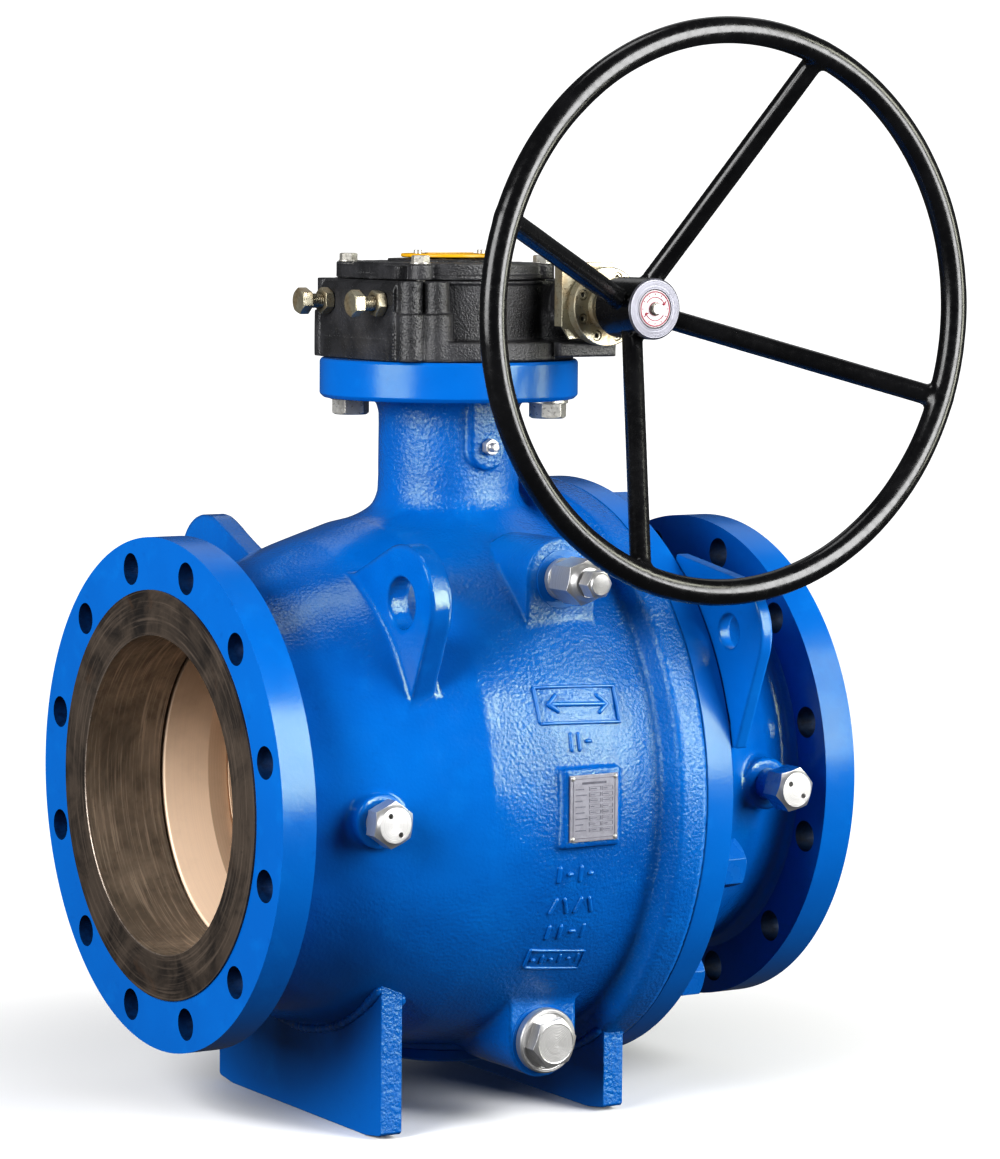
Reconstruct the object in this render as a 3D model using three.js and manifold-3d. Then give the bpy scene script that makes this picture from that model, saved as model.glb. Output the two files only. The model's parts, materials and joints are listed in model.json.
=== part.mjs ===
// Side-entry, trunnion-mounted flanged ball valve, NPS 10 class 150, fully open, with a
// worm-gear quarter-turn operator and a dished handwheel.  Units mm.
// Dimensions run from the ball centre, where the flow axis X meets the stem axis Z.
// +X runs from the body end flange (inlet) to the closure end flange (outlet), -Y is the
// handwheel side, +Z is up.  The group is then moved so that its origin is the middle of
// the inlet-side foot's base and z = 0 is the floor.
import * as THREE from 'three';
import { mergeVertices } from 'three/addons/utils/BufferGeometryUtils.js';
import Module from 'manifold-3d';

const wasm = await Module();
wasm.setup();

// ------------------------------------------------------- shared dimensions
const SEG = 32;                 // facets on the large turned surfaces
const STEM_SEG = 20;            // facets on the stem and its bushes
const GAP = 0.3;                // clearance between fitted parts
const OVER = 1;                 // overshoot of cutters and overlap of joined shapes

const HALF = 266.5;             // half of the 533 face-to-face length
const FLANGE_R = 203.2;
const FLANGE_T = 28.6;          // thickness behind the raised face
const RAISED_R = 161.9;
const RAISED_H = 1.6;
const FLANGE_X = HALF - RAISED_H;
const FLANGE_BACK_X = FLANGE_X - FLANGE_T;
const FLANGE_HOLE_PCR = 181;
const FLANGE_HOLE_R = 12.7;
const BORE_R = 126;
const BALL_R = 185;
const JOINT_X = 93.4;           // body / closure joint plane
const JOINT_RELIEF = 0.2;       // each casting stops this short of the joint plane
const RING_R = 241;             // rims of the two castings at the joint
const RING_BACK_X = 120;        // back of the closure rim
const STUD_PCR = 217;
const STUD_R = 12;
const CAVITY_R = 196.4;
const SEAT_R = 160;
const SEAT_REAR_R = 143;
const SEAT_BORE_R = 126.6;

const TOP_Z = 340;              // face of the operator mounting flange
const TOP_FLANGE_R = 105;
const TOP_FLANGE_BACK_Z = TOP_Z - 32;
const TOP_PCR = 82.5;
const NECK_R = 57;
const FOOT_Z = -264.7;
const FOOT_HALF = 133.7;        // half width across Y
const FOOT_X = [-138.8, -119.5]; // inlet-side foot, in line with the body lugs
const OUTLET_FOOT_X = [69.2, 88];

const STEM_R = 25;
const THRUST_Z = 200;           // top of the thrust counterbore
const THRUST_R = 41;
const BEARING_R = 30;           // pocket of the stem bearing, and of the trunnion's
const PACKING_Z = 262;          // floor of the packing box
const PACKING_TOP = 290;
const PACKING_R = 36;
const TRUNNION_R = 34;
const TRUNNION_BOSS_R = 62;
const TRUNNION_SCREW_PCR = 48;
const SLOT = { halfX: 40, halfY: 18, floor: 150 }; // drive slot across the ball's top
const KEYWAY = { half: 7, y: -17.8, z0: 352, z1: 402 };

const GEAR_Z0 = 340.4;          // underside of the gear housing
const GEAR_SPLIT = 404;
const COVER_TOP = 418;
const COVER_BOLTS = [[52, -58], [-60, 60], [-62, -58], [52, 58]]; // x, y
const STOP_SCREWS = [[0, -42, 386], [0, 42, 386]];
const WORM_X = 80;
const WORM_Z = 384;
const WORM_AT = [WORM_X, 0, WORM_Z];
const MODULE = 2.5;
const TEETH = 52;               // of the full worm wheel
const PITCH = Math.PI * MODULE;
const WHEEL_PR = MODULE * TEETH / 2;
const WORM_PR = WORM_X - WHEEL_PR;
const ADDENDUM = 2.3;
const HALF_TOOTH = PITCH / 4 - 0.36; // at the pitch line, with backlash
const FLANK = Math.tan(THREE.MathUtils.degToRad(20));

// Ports and their fittings all lie along Y.
const BLEED_AT = [0, 0, 174];
const DRAIN_AT = [0, 0, -195];
const BODY_SEALANT_AT = [-173, 0, -2.5];
const CLOSURE_SEALANT_AT = [194.5, 0, 0];
const GREASE_AT = [0, 0, 271];

const BOLT_ANGLES = Array.from({ length: 12 }, (_, i) => 15 + 30 * i);
const CORNERS = [45, 135, 225, 315];
const QUARTERS = [0, 90, 180, 270];

// --------------------------------------------------------------- materials
function material(name, settings) {
  const made = new THREE.MeshStandardMaterial({ ...settings, flatShading: true });
  made.name = name;
  return made;
}
const MAT = {
  blue: material('blue_enamel', { color: 0x0a5fc4, roughness: 0.35, metalness: 0.1 }),
  steel: material('machined_steel', { color: 0x8a8178, roughness: 0.35, metalness: 0.9 }),
  chrome: material('ball_plating', { color: 0xb79e86, roughness: 0.22, metalness: 1 }),
  polymer: material('seat_polymer', { color: 0xe6e2d6, roughness: 0.6, metalness: 0 }),
  rubber: material('seal_rubber', { color: 0x171717, roughness: 0.75, metalness: 0 }),
  spring: material('spring_steel', { color: 0x6f7277, roughness: 0.35, metalness: 1 }),
  stainless: material('stainless_fitting', { color: 0xc6c4bd, roughness: 0.28, metalness: 1 }),
  yellowZinc: material('yellow_zinc', { color: 0xbfb48a, roughness: 0.35, metalness: 0.9 }),
  blackIron: material('black_cast_iron', { color: 0x202225, roughness: 0.5, metalness: 0.3 }),
  gloss: material('gloss_black', { color: 0x0d0d0f, roughness: 0.2, metalness: 0.1 }),
  bronze: material('bronze', { color: 0xa9793a, roughness: 0.4, metalness: 0.9 }),
  plate: material('plate_steel', { color: 0xcfd2d4, roughness: 0.35, metalness: 0.9 }),
  yellow: material('indicator_yellow', { color: 0xf2b705, roughness: 0.4, metalness: 0 }),
  brightZinc: material('bright_zinc', { color: 0xc9ccc8, roughness: 0.35, metalness: 0.9 }),
};

// ----------------------------------------------------------------- helpers
// Closed geometry to Manifold: welds vertices, drops empty triangles, faces them outward.
function solid(geometry) {
  let welded = geometry.clone();
  welded.deleteAttribute('normal');
  welded.deleteAttribute('uv');
  welded = mergeVertices(welded, 1e-4);
  const position = welded.attributes.position;
  const index = welded.index.array;
  const [va, vb, vc] = [0, 1, 2].map(() => new THREE.Vector3());
  const triangles = [];
  let volume = 0;
  for (let i = 0; i < index.length; i += 3) {
    const [a, b, c] = index.slice(i, i + 3);
    if (a === b || b === c || a === c) continue;
    triangles.push(a, b, c);
    va.fromBufferAttribute(position, a);
    vb.fromBufferAttribute(position, b);
    vc.fromBufferAttribute(position, c);
    volume += va.dot(vb.cross(vc));
  }
  if (volume < 0) {
    for (let i = 0; i < triangles.length; i += 3) {
      [triangles[i + 1], triangles[i + 2]] = [triangles[i + 2], triangles[i + 1]];
    }
  }
  return new wasm.Manifold(new wasm.Mesh({
    numProp: 3,
    vertProperties: new Float32Array(position.array),
    triVerts: new Uint32Array(triangles),
  }));
}

function indexed(positions, index) {
  const geometry = new THREE.BufferGeometry();
  geometry.setAttribute('position', new THREE.Float32BufferAttribute(positions, 3));
  geometry.setIndex(new THREE.Uint32BufferAttribute(index, 1));
  return geometry;
}

const group = new THREE.Group();
group.name = 'geared_flanged_valve';

function put(name, shape, mat) {
  const { vertProperties, triVerts } = shape.getMesh();
  const geometry = mergeVertices(indexed(vertProperties, triVerts), 1e-5);
  geometry.computeVertexNormals();
  const mesh = new THREE.Mesh(geometry, mat);
  mesh.name = name;
  group.add(mesh);
}

const union = (...shapes) => shapes.reduce((a, b) => a.add(b));
const cut = (shape, ...tools) => tools.reduce((a, b) => a.subtract(b), shape);

function polar(radius, degrees) {
  const angle = THREE.MathUtils.degToRad(degrees);
  return [radius * Math.cos(angle), radius * Math.sin(angle)];
}
const aroundX = (radius, degrees) => [0, ...polar(radius, degrees)];
const aroundZ = (radius, degrees) => [...polar(radius, degrees), 0];

// Radius of a faceted hole whose flats clear a shaft turning in it.
const runningR = (shaftR, segments) => (shaftR + GAP) / Math.cos(Math.PI / segments);

// Solid of revolution.  profile: [position along the axis, radius]; one that starts off
// the axis is closed into a ring.
function turned(axis, profile, segments = SEG, phase = 0) {
  const points = profile.map(([along, radius]) => new THREE.Vector2(radius, along));
  if (profile[0][1] !== 0) points.push(points[0].clone());
  const geometry = new THREE.LatheGeometry(points, segments, phase, Math.PI * 2);
  if (axis === 'x') geometry.rotateZ(-Math.PI / 2);
  if (axis === 'z') geometry.rotateX(Math.PI / 2);
  return solid(geometry);
}

const rod = (axis, from, to, radius, segments, at = [0, 0, 0]) =>
  turned(axis, [[from, 0], [from, radius], [to, radius], [to, 0]], segments).translate(at);

const tube = (axis, from, to, innerR, outerR, segments) =>
  turned(axis, [[from, innerR], [from, outerR], [to, outerR], [to, innerR]], segments);

function box(x0, x1, y0, y1, z0, z1) {
  const geometry = new THREE.BoxGeometry(x1 - x0, y1 - y0, z1 - z0);
  geometry.translate((x0 + x1) / 2, (y0 + y1) / 2, (z0 + z1) / 2);
  return solid(geometry);
}

function prism(outline, z0, z1) {
  const shape = new THREE.Shape(outline.map(([x, y]) => new THREE.Vector2(x, y)));
  const settings = { depth: z1 - z0, bevelEnabled: false, steps: 1 };
  return new THREE.ExtrudeGeometry(shape, settings).translate(0, 0, z0);
}
// Plates are named for their normal; outlines are [y, z], [x, z] and [x, y].
const plateX = (outline, x0, x1) =>
  solid(prism(outline, x0, x1).rotateX(Math.PI / 2).rotateZ(Math.PI / 2));
const plateY = (outline, y0, y1) => solid(prism(outline, -y1, -y0).rotateX(Math.PI / 2));
const plateZ = (outline, z0, z1) => solid(prism(outline, z0, z1));

// Hexagon from `from` to `to`, chamfered at the `to` end; twist in radians.
function hexBar(axis, at, from, to, acrossFlats, twist = 0) {
  const flatR = acrossFlats / 2;
  const cornerR = acrossFlats / Math.sqrt(3);
  const out = Math.sign(to - from);
  const chamfer = (cornerR - flatR) * 0.6;
  const tip = to + out * 0.02; // just past the end face
  const bar = turned(axis, [[from, 0], [from, cornerR], [to, cornerR], [to, 0]], 6, twist);
  const cone = turned(axis, [
    [from - out, 0], [from - out, cornerR + 2], [to - out * chamfer, cornerR + 0.35],
    [tip, flatR], [tip, 0],
  ], 12);
  return bar.intersect(cone).translate(at);
}

// hex: [from, to, across flats, twist]; each rod: [from, to, radius, segments].
const fastener = (axis, at, hex, ...rods) =>
  union(hexBar(axis, at, ...hex), ...rods.map(sizes => rod(axis, ...sizes, at)));

// Skin through four-cornered sections, joined into a loop or capped at both ends.
function sweep(sections, closed) {
  const count = sections.length;
  const index = [];
  for (let i = 0; i < (closed ? count : count - 1); i++) {
    const next = 4 * ((i + 1) % count);
    for (let k = 0; k < 4; k++) {
      const k1 = (k + 1) % 4;
      index.push(4 * i + k, next + k, 4 * i + k1, 4 * i + k1, next + k, next + k1);
    }
  }
  if (!closed) {
    const last = 4 * (count - 1);
    index.push(0, 1, 2, 0, 2, 3, last, last + 2, last + 1, last, last + 3, last + 2);
  }
  return solid(indexed(sections.flat(2), index));
}

// -------------------------------------------------------------------- body
// Raised-face end flange; side is -1 for the inlet, 1 for the outlet.
const endFlange = side => turned('x', [
  [HALF, 0], [HALF, RAISED_R], [FLANGE_X, RAISED_R], [FLANGE_X, FLANGE_R],
  [FLANGE_BACK_X, FLANGE_R], [FLANGE_BACK_X, 0],
].map(([x, r]) => [side * x, r]));

// Outer end of each casting's bore: seat pocket, then flow bore.
const seatPocket = side => [
  [171.5, SEAT_R + 1], [171.5, SEAT_REAR_R + 0.8], [198.2, SEAT_REAR_R + 0.8],
  [198.2, BORE_R], [HALF + OVER, BORE_R], [HALF + OVER, 0],
].map(([x, r]) => [side * x, r]);

// x, radius
const BODY_OUTLINE = [
  [-FLANGE_BACK_X, 166], [-222, 167], [-180, 181], [-135, 196], [-85, 211], [-30, 220.5],
  [25, 223], [57, 221], [66, 230], [73, RING_R - 0.6], [JOINT_X - JOINT_RELIEF, RING_R],
];
const bodyBarrel = (grow = 0) => turned('x', [
  [-FLANGE_BACK_X, 0],
  ...BODY_OUTLINE.map(([x, r]) => [x, r + grow]),
  [JOINT_X - JOINT_RELIEF, 0],
]);

// z, radius: neck and operator mounting flange
const NECK_PROFILE = [
  [180, 0], [180, 80], [206, 79], [215, 68], [224, 61], [237, NECK_R],
  [TOP_FLANGE_BACK_Z, NECK_R], [TOP_FLANGE_BACK_Z, TOP_FLANGE_R - 3],
  [TOP_FLANGE_BACK_Z + 3, TOP_FLANGE_R], [TOP_Z, TOP_FLANGE_R], [TOP_Z, 0],
];
// z, radius: thrust counterbore, bearing, packing box, spigot recess
const STEM_BORE_PROFILE = [
  [160, 0], [160, THRUST_R], [THRUST_Z, THRUST_R], [THRUST_Z, BEARING_R],
  [PACKING_Z, BEARING_R], [PACKING_Z, PACKING_R], [334.6, PACKING_R], [334.6, 65],
  [TOP_Z + OVER, 65], [TOP_Z + OVER, 0],
];
// x, z
const GREASE_PAD = [[-16, 300], [-16, 268], [-11, 257], [0, 252.5], [11, 257], [16, 268], [16, 300]];

// Outline with a half-round end centred on z, square at endZ.
function roundPad(radius, z, endZ) {
  const side = Math.sign(z - endZ);
  const arc = Array.from({ length: 7 }, (_, i) => polar(side * radius, 30 * i));
  return [...arc.map(([x, up]) => [x, z + up]), [-side * radius, endZ], [side * radius, endZ]];
}

// Block on the -Y side, centred where the name-plate sits.
const nameplateBlock = (halfX, halfZ, y0, y1) =>
  box(-halfX, halfX, y0, y1, -halfZ, halfZ).translate([-4, 0, 1]);

// Lifting lug normal to X, pointing out at an angle from +Y: an arc about the eye, joined
// by tangents to two root corners.
function liftingLug(degrees, x0, x1, { eyePcr, eyeR, arcR, rootR, rootHalfAngle }) {
  const [eyeY, eyeZ] = polar(eyePcr, degrees);
  const root = side => polar(rootR, degrees + side * rootHalfAngle);
  const sunkRoot = side => polar(rootR - 34, degrees + side * (rootHalfAngle - 4));
  const tangentAngle = side => {
    const [y, z] = root(side);
    const distance = Math.hypot(eyeY - y, eyeZ - z);
    const heading = Math.atan2(eyeZ - z, eyeY - y) + side * Math.asin(arcR / distance);
    const length = Math.sqrt(distance * distance - arcR * arcR);
    const touchY = y + length * Math.cos(heading);
    const touchZ = z + length * Math.sin(heading);
    return Math.atan2(touchZ - eyeZ, touchY - eyeY);
  };
  const start = tangentAngle(-1);
  let end = tangentAngle(1);
  if (end < start) end += 2 * Math.PI;
  const arc = Array.from({ length: 8 }, (_, i) => {
    const angle = start + (end - start) * i / 7;
    return [eyeY + arcR * Math.cos(angle), eyeZ + arcR * Math.sin(angle)];
  });
  const outline = [sunkRoot(-1), root(-1), ...arc, root(1), sunkRoot(1)];
  const eye = rod('x', x0 - OVER, x1 + OVER, eyeR, 14, [0, eyeY, eyeZ]);
  return cut(plateX(outline, x0, x1), eye);
}
const BODY_LUG = { eyePcr: 227, eyeR: 20, arcR: 45, rootR: 188, rootHalfAngle: 21.5 };
const CLOSURE_LUG = { eyePcr: 264, eyeR: 14, arcR: 44, rootR: 243, rootHalfAngle: 20.5 };

function bodyCasting() {
  const shape = union(
    bodyBarrel(),
    endFlange(-1),
    turned('z', NECK_PROFILE),
    plateY(GREASE_PAD, -62, -40),
    plateY(roundPad(31.5, BLEED_AT[2], 132), -172, -100),
    plateY(roundPad(30.5, DRAIN_AT[2], -150), -150, -58),
    rod('y', -192, -150, 21, 12, BODY_SEALANT_AT),
    nameplateBlock(26, 31, -226, -200),
    rod('z', -223, -180, TRUNNION_BOSS_R, 24),
    liftingLug(135, ...FOOT_X, BODY_LUG),
    liftingLug(45, ...FOOT_X, BODY_LUG),
  );
  const cavity = turned('x', [
    [JOINT_X + OVER, 0], [JOINT_X + OVER, CAVITY_R], [-52, CAVITY_R], [-100, 178],
    [-104, SEAT_R + 1], ...seatPocket(-1),
  ]);
  const boltHoles = BOLT_ANGLES.flatMap(angle => [
    rod('x', -HALF - OVER, -FLANGE_BACK_X + 12, FLANGE_HOLE_R, 8,
      aroundX(FLANGE_HOLE_PCR, angle)),
    rod('x', 70, JOINT_X + OVER, STUD_R + GAP, 8, aroundX(STUD_PCR, angle)),
  ]);
  return cut(
    shape,
    rod('z', -240, -218.6, TRUNNION_BOSS_R - 1, 24), // trunnion cover recess
    cavity,
    turned('z', STEM_BORE_PROFILE, STEM_SEG),
    rod('z', -230, -150, TRUNNION_R, STEM_SEG),
    ...boltHoles,
    ...CORNERS.map(angle => rod('z', TOP_Z - 60, TOP_Z + OVER, 11, 8, aroundZ(TOP_PCR, angle))),
    ...QUARTERS.map(angle => rod('z', -225, -201, 5.3, 6, aroundZ(TRUNNION_SCREW_PCR, angle))),
    // ports, and the narrower passages behind the bleed and drain
    rod('y', -173, -150, 12.4, 10, BLEED_AT),
    rod('y', -153, -60, 5, 6, BLEED_AT),
    rod('y', -151, -128, 16.4, 12, DRAIN_AT),
    rod('y', -130, -20, 6, 6, [0, 0, DRAIN_AT[2] + 2]),
    rod('y', -193, -173, 8.4, 8, BODY_SEALANT_AT),
    rod('y', -63, -46, 4.4, 8, GREASE_AT),
  );
}
put('body_casting', bodyCasting(), MAT.blue);

// ------------------------------------------------------------ support feet
// y, z
const FOOT_OUTLINE = [
  [-FOOT_HALF, -261], [-110, FOOT_Z], [110, FOOT_Z],
  [FOOT_HALF, -261], [FOOT_HALF, -110], [-FOOT_HALF, -110],
];
const supportFoot = (x0, x1) => cut(
  plateX(FOOT_OUTLINE, x0, x1),
  bodyBarrel(GAP),
  rod('z', -250, -150, TRUNNION_BOSS_R + 0.6, 24),
);
put('support_foot_inlet', supportFoot(...FOOT_X), MAT.blue);
put('support_foot_outlet', supportFoot(...OUTLET_FOOT_X), MAT.blue);

// ----------------------------------------------------------------- closure
// x, radius
const CLOSURE_PROFILE = [
  [JOINT_X + JOINT_RELIEF, 0], [JOINT_X + JOINT_RELIEF, RING_R - 0.8],
  [RING_BACK_X, RING_R - 0.8], [RING_BACK_X, 195], [146, 189], [172, 177], [215, 158],
  [FLANGE_BACK_X, 155], [FLANGE_BACK_X, 0],
];
function closureCasting() {
  const shape = union(
    turned('x', CLOSURE_PROFILE),
    endFlange(1),
    rod('x', 83, JOINT_X + OVER, CAVITY_R - 0.4, SEG), // spigot into the body cavity
    rod('y', -181, -140, 21, 12, CLOSURE_SEALANT_AT),
  );
  const bore = [[82, 0], [82, 171], [96, 171], [104, SEAT_R + 1], ...seatPocket(1)];
  const boltHoles = BOLT_ANGLES.flatMap(angle => [
    rod('x', FLANGE_BACK_X - 14, HALF + OVER, FLANGE_HOLE_R, 8,
      aroundX(FLANGE_HOLE_PCR, angle)),
    rod('x', 92, 160, STUD_R + GAP, 8, aroundX(STUD_PCR, angle)),
  ]);
  return cut(
    shape,
    turned('x', bore),
    tube('x', 85.2, 91.8, 190.4, 200, SEG), // seal groove
    ...boltHoles,
    rod('y', -182, -164, 8.4, 8, CLOSURE_SEALANT_AT),
  );
}
put('closure_casting', closureCasting(), MAT.blue);

// Lug plate with room for the closure bolt on each side of it.
const closureLug = degrees => cut(
  liftingLug(degrees, RING_BACK_X + GAP, 131.3, CLOSURE_LUG),
  ...[-15, 15].map(offset => rod('x', 118, 134, 21.8, 16, aroundX(STUD_PCR, degrees + offset))),
);
put('closure_lug_front', closureLug(150), MAT.blue);
put('closure_lug_rear', closureLug(30), MAT.blue);

CORNERS.forEach((angle, i) => {
  const bolt = fastener('x', aroundX(STUD_PCR, angle),
    [RING_BACK_X + GAP, 141.5, 36], [70.6, 147, STUD_R, 8]);
  put(`closure_bolt_${i + 1}`, bolt, MAT.blue);
});
put('closure_seal', tube('x', 85.6, 91.4, 190.8, 196, SEG), MAT.rubber);

// ------------------------------------------------------------------- seats
const SEAT_SEG = 28;
const SEAT_CLEARANCE = 2;       // seat ring to ball
const INSERT_CLEARANCE = 1.3;   // seat insert to ball

// x of the sphere `clearance` outside the ball, at a given radius from the flow axis
const ballX = (clearance, r) => Math.sqrt((BALL_R + clearance) ** 2 - r * r);
const turnedSeat = (side, profile) =>
  turned('x', profile.map(([x, r]) => [side * x, r]), SEAT_SEG);

const seatRing = side => turnedSeat(side, [
  [196.9, SEAT_BORE_R], [196.9, SEAT_REAR_R], [186, SEAT_REAR_R], [186, 137.8],
  [179.6, 137.8], [179.6, SEAT_REAR_R], [167.4, SEAT_REAR_R], [167.4, SEAT_R],
  [ballX(SEAT_CLEARANCE, 152), SEAT_R], [ballX(SEAT_CLEARANCE, 152), 152],
  [ballX(SEAT_CLEARANCE, 145), 145], [129, 145], [129, 137],
  [ballX(SEAT_CLEARANCE, 137), 137], [ballX(SEAT_CLEARANCE, SEAT_BORE_R), SEAT_BORE_R],
]);

const seatInsert = side => turnedSeat(side, [
  [128.7, 137.3], [128.7, 144.7],
  [ballX(INSERT_CLEARANCE, 144.7), 144.7], [ballX(INSERT_CLEARANCE, 137.3), 137.3],
]);

// Flat ring with four waves, between the seat step and the pocket.
function waveSpring(side) {
  const count = 32;
  const midX = 170;
  const waveHeight = 0.55;
  const corners = [[146, -0.45], [157, -0.45], [157, 0.45], [146, 0.45]]; // radius, x offset
  const sections = Array.from({ length: count }, (_, i) => {
    const angle = i * 2 * Math.PI / count;
    const x = midX + waveHeight * Math.cos(4 * angle);
    return corners.map(([r, offset]) =>
      [side * (x + offset), r * Math.cos(angle), r * Math.sin(angle)]);
  });
  return sweep(sections, true);
}

for (const [tag, side] of [['inlet', -1], ['outlet', 1]]) {
  put(`seat_ring_${tag}`, seatRing(side), MAT.steel);
  put(`seat_insert_${tag}`, seatInsert(side), MAT.polymer);
  const seal = tube('x', side * 180.2, side * 185.4, 138.3, 142.9, SEAT_SEG);
  put(`seat_seal_${tag}`, seal, MAT.rubber);
  put(`seat_spring_${tag}`, waveSpring(side), MAT.spring);
}

// ----------------------------------------------------------- ball and stem
const ball = () => cut(
  solid(new THREE.SphereGeometry(BALL_R, 32, 14).rotateX(Math.PI / 2)),
  rod('x', -200, 200, BORE_R, SEG),
  box(-200, 200, -200, 200, 172, 200), // top and bottom flats
  box(-200, 200, -200, 200, -200, -172),
  box(-SLOT.halfX, SLOT.halfX, -SLOT.halfY, SLOT.halfY, SLOT.floor, 180),
  rod('z', -180, -149, runningR(BEARING_R, STEM_SEG), STEM_SEG),
);
put('ball', ball(), MAT.chrome);

function stem() {
  const shaft = turned('z', [
    [172.4, 0], [172.4, 39], [194.8, 39], [194.8, STEM_R], [346, STEM_R], [346, 22.5],
    [403.4, 22.5], [403.4, 15], [420.9, 15], [420.9, 0],
  ], STEM_SEG);
  const halfX = SLOT.halfX - GAP;
  const halfY = SLOT.halfY - GAP;
  const tang = box(-halfX, halfX, -halfY, halfY, SLOT.floor + 0.4, 173);
  const keyway = box(-KEYWAY.half, KEYWAY.half, -30, KEYWAY.y, KEYWAY.z0, KEYWAY.z1);
  return cut(union(shaft, tang), keyway);
}
put('stem', stem(), MAT.stainless);

const BUSH_R = runningR(STEM_R, STEM_SEG);
const stemTube = (z0, z1, innerR, outerR) => tube('z', z0, z1, innerR, outerR, STEM_SEG);
put('stem_thrust_washer', stemTube(195.2, THRUST_Z - GAP, BUSH_R, THRUST_R - 0.4), MAT.polymer);
put('stem_bearing', stemTube(202, 252, BUSH_R, BEARING_R - GAP), MAT.bronze);
put('stem_packing', stemTube(PACKING_Z + GAP, PACKING_TOP, BUSH_R, PACKING_R - GAP), MAT.polymer);
put('gland_bush', turned('z', [
  [PACKING_TOP + GAP, BUSH_R], [PACKING_TOP + GAP, PACKING_R - GAP], [326, PACKING_R - GAP],
  [326, 33], [333.6, 33], [333.6, BUSH_R],
], STEM_SEG), MAT.stainless);
put('lower_trunnion', turned('z', [
  [-218.4, 0], [-218.4, TRUNNION_R - GAP], [-197, TRUNNION_R - GAP], [-197, STEM_R],
  [-151, STEM_R], [-151, 0],
], STEM_SEG), MAT.stainless);
put('trunnion_bearing', stemTube(-186, -152, STEM_R + GAP, BEARING_R), MAT.bronze);

const trunnionCover = () => cut(
  turned('z', [[-228.6, 0], [-228.6, 58.4], [-227, 60], [-218.9, 60], [-218.9, 0]], 24),
  ...QUARTERS.map(angle => rod('z', -240, -216, 5.6, 6, aroundZ(TRUNNION_SCREW_PCR, angle))),
);
put('trunnion_cover', trunnionCover(), MAT.blue);

// ---------------------------------------------------- fittings on the body
put('drain_plug', fastener('y', DRAIN_AT,
  [-158, -176, 41, 0.35], [-158.4, -150.3, 26, 20], [-151, -130, 16, 12]), MAT.stainless);

const PLUG_R = 7;
const bleedFitting = fastener('y', BLEED_AT,
  [-180, -212, 32, 0.2], [-182, -172.3, 15.5, 14], [-173, -152, 12, 10]);
const plugHole = rod('y', -213, -190, runningR(PLUG_R, 10), 10, BLEED_AT);
put('bleed_fitting', cut(bleedFitting, plugHole), MAT.stainless);
put('bleed_plug', fastener('y', BLEED_AT,
  [-214, -230, 19, 0.5], [-217, -191, PLUG_R, 8]), MAT.stainless);
put('sealant_fitting_body', fastener('y', BODY_SEALANT_AT,
  [-197, -213, 32, 0.1], [-198, -192.3, 14.5, 12], [-193, -175, 8, 8]), MAT.stainless);
put('sealant_fitting_closure', fastener('y', CLOSURE_SEALANT_AT,
  [-199, -221, 32, 0.3], [-200, -181.3, 13, 12], [-182, -166, 8, 8]), MAT.stainless);
put('stem_grease_fitting', fastener('y', GREASE_AT,
  [-62.3, -69, 12], [-68, -74, 3.6, 8], [-63, -48, 4, 8]), MAT.stainless);
put('nameplate', nameplateBlock(22, 26, -227.6, -226.3), MAT.plate);

// ----------------------------------------------------------- gear operator
// x, y, radius of the columns at the housing's -X side
const COLUMNS = [[-75, -66, 11.5], [-55, -73, 12], [-75, 66, 11.5], [-55, 73, 12]];
const COLUMN_TOP = 378;
const UPPER_Z = COLUMN_TOP - 2; // start of the upper columns, sunk in the lower

function gearboxHousing() {
  const wall = [ // x, z
    [-88, GEAR_Z0], [0, GEAR_Z0], [0, GEAR_SPLIT], [-80, GEAR_SPLIT],
    [-85, GEAR_SPLIT - 2.5], [-88, GEAR_SPLIT - 8],
  ];
  const base = cut(rod('z', GEAR_Z0, 356, 101, 32), box(-120, -88, -120, 120, 300, 400));
  const shape = union(
    rod('z', GEAR_Z0, GEAR_SPLIT, 80, 32),
    plateY(wall, -60, 57),
    base,
    ...COLUMNS.flatMap(([x, y, r]) => [
      rod('z', GEAR_Z0, COLUMN_TOP, r, 10, [x, y, 0]),
      rod('z', UPPER_Z, GEAR_SPLIT, r - 1.6, 10, [x, y - 1.5 * Math.sign(y), 0]),
    ]),
    ...[-58.3, 58.3].map(y => rod('z', GEAR_Z0, COLUMN_TOP, 14, 10, [58.3, y, 0])),
    ...COVER_BOLTS.map(([x, y]) => rod('z', UPPER_Z, GEAR_SPLIT, 10, 10, [x, y, 0])),
    rod('y', -100, 98, 27, 20, WORM_AT), // worm barrel and the blocks below it
    box(43, 97, -100, 60, 343.5, 355),
    box(58, 100, -70, 70, 350, 372),
    tube('z', 335.2, GEAR_Z0 + OVER, 50, 64, STEM_SEG), // locating spigot
  );
  return cut(
    shape,
    rod('z', 350, GEAR_SPLIT + OVER, 72.5, 32), // gear chamber
    rod('y', -101, 80, 19, 16, WORM_AT),        // worm bore, closed at its +Y end
    rod('z', 330, 360, 40, STEM_SEG),           // stem hole
    ...STOP_SCREWS.map(at => rod('x', -100, -50, 6.3, 10, at)),
    ...COVER_BOLTS.map(([x, y]) => rod('z', 384, GEAR_SPLIT + OVER, 4.3, 8, [x, y, 0])),
    ...CORNERS.map(angle => rod('z', GEAR_Z0 - OVER, 349, 10.3, 8, aroundZ(TOP_PCR, angle))),
  );
}
put('gearbox_housing', gearboxHousing(), MAT.blackIron);

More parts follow.
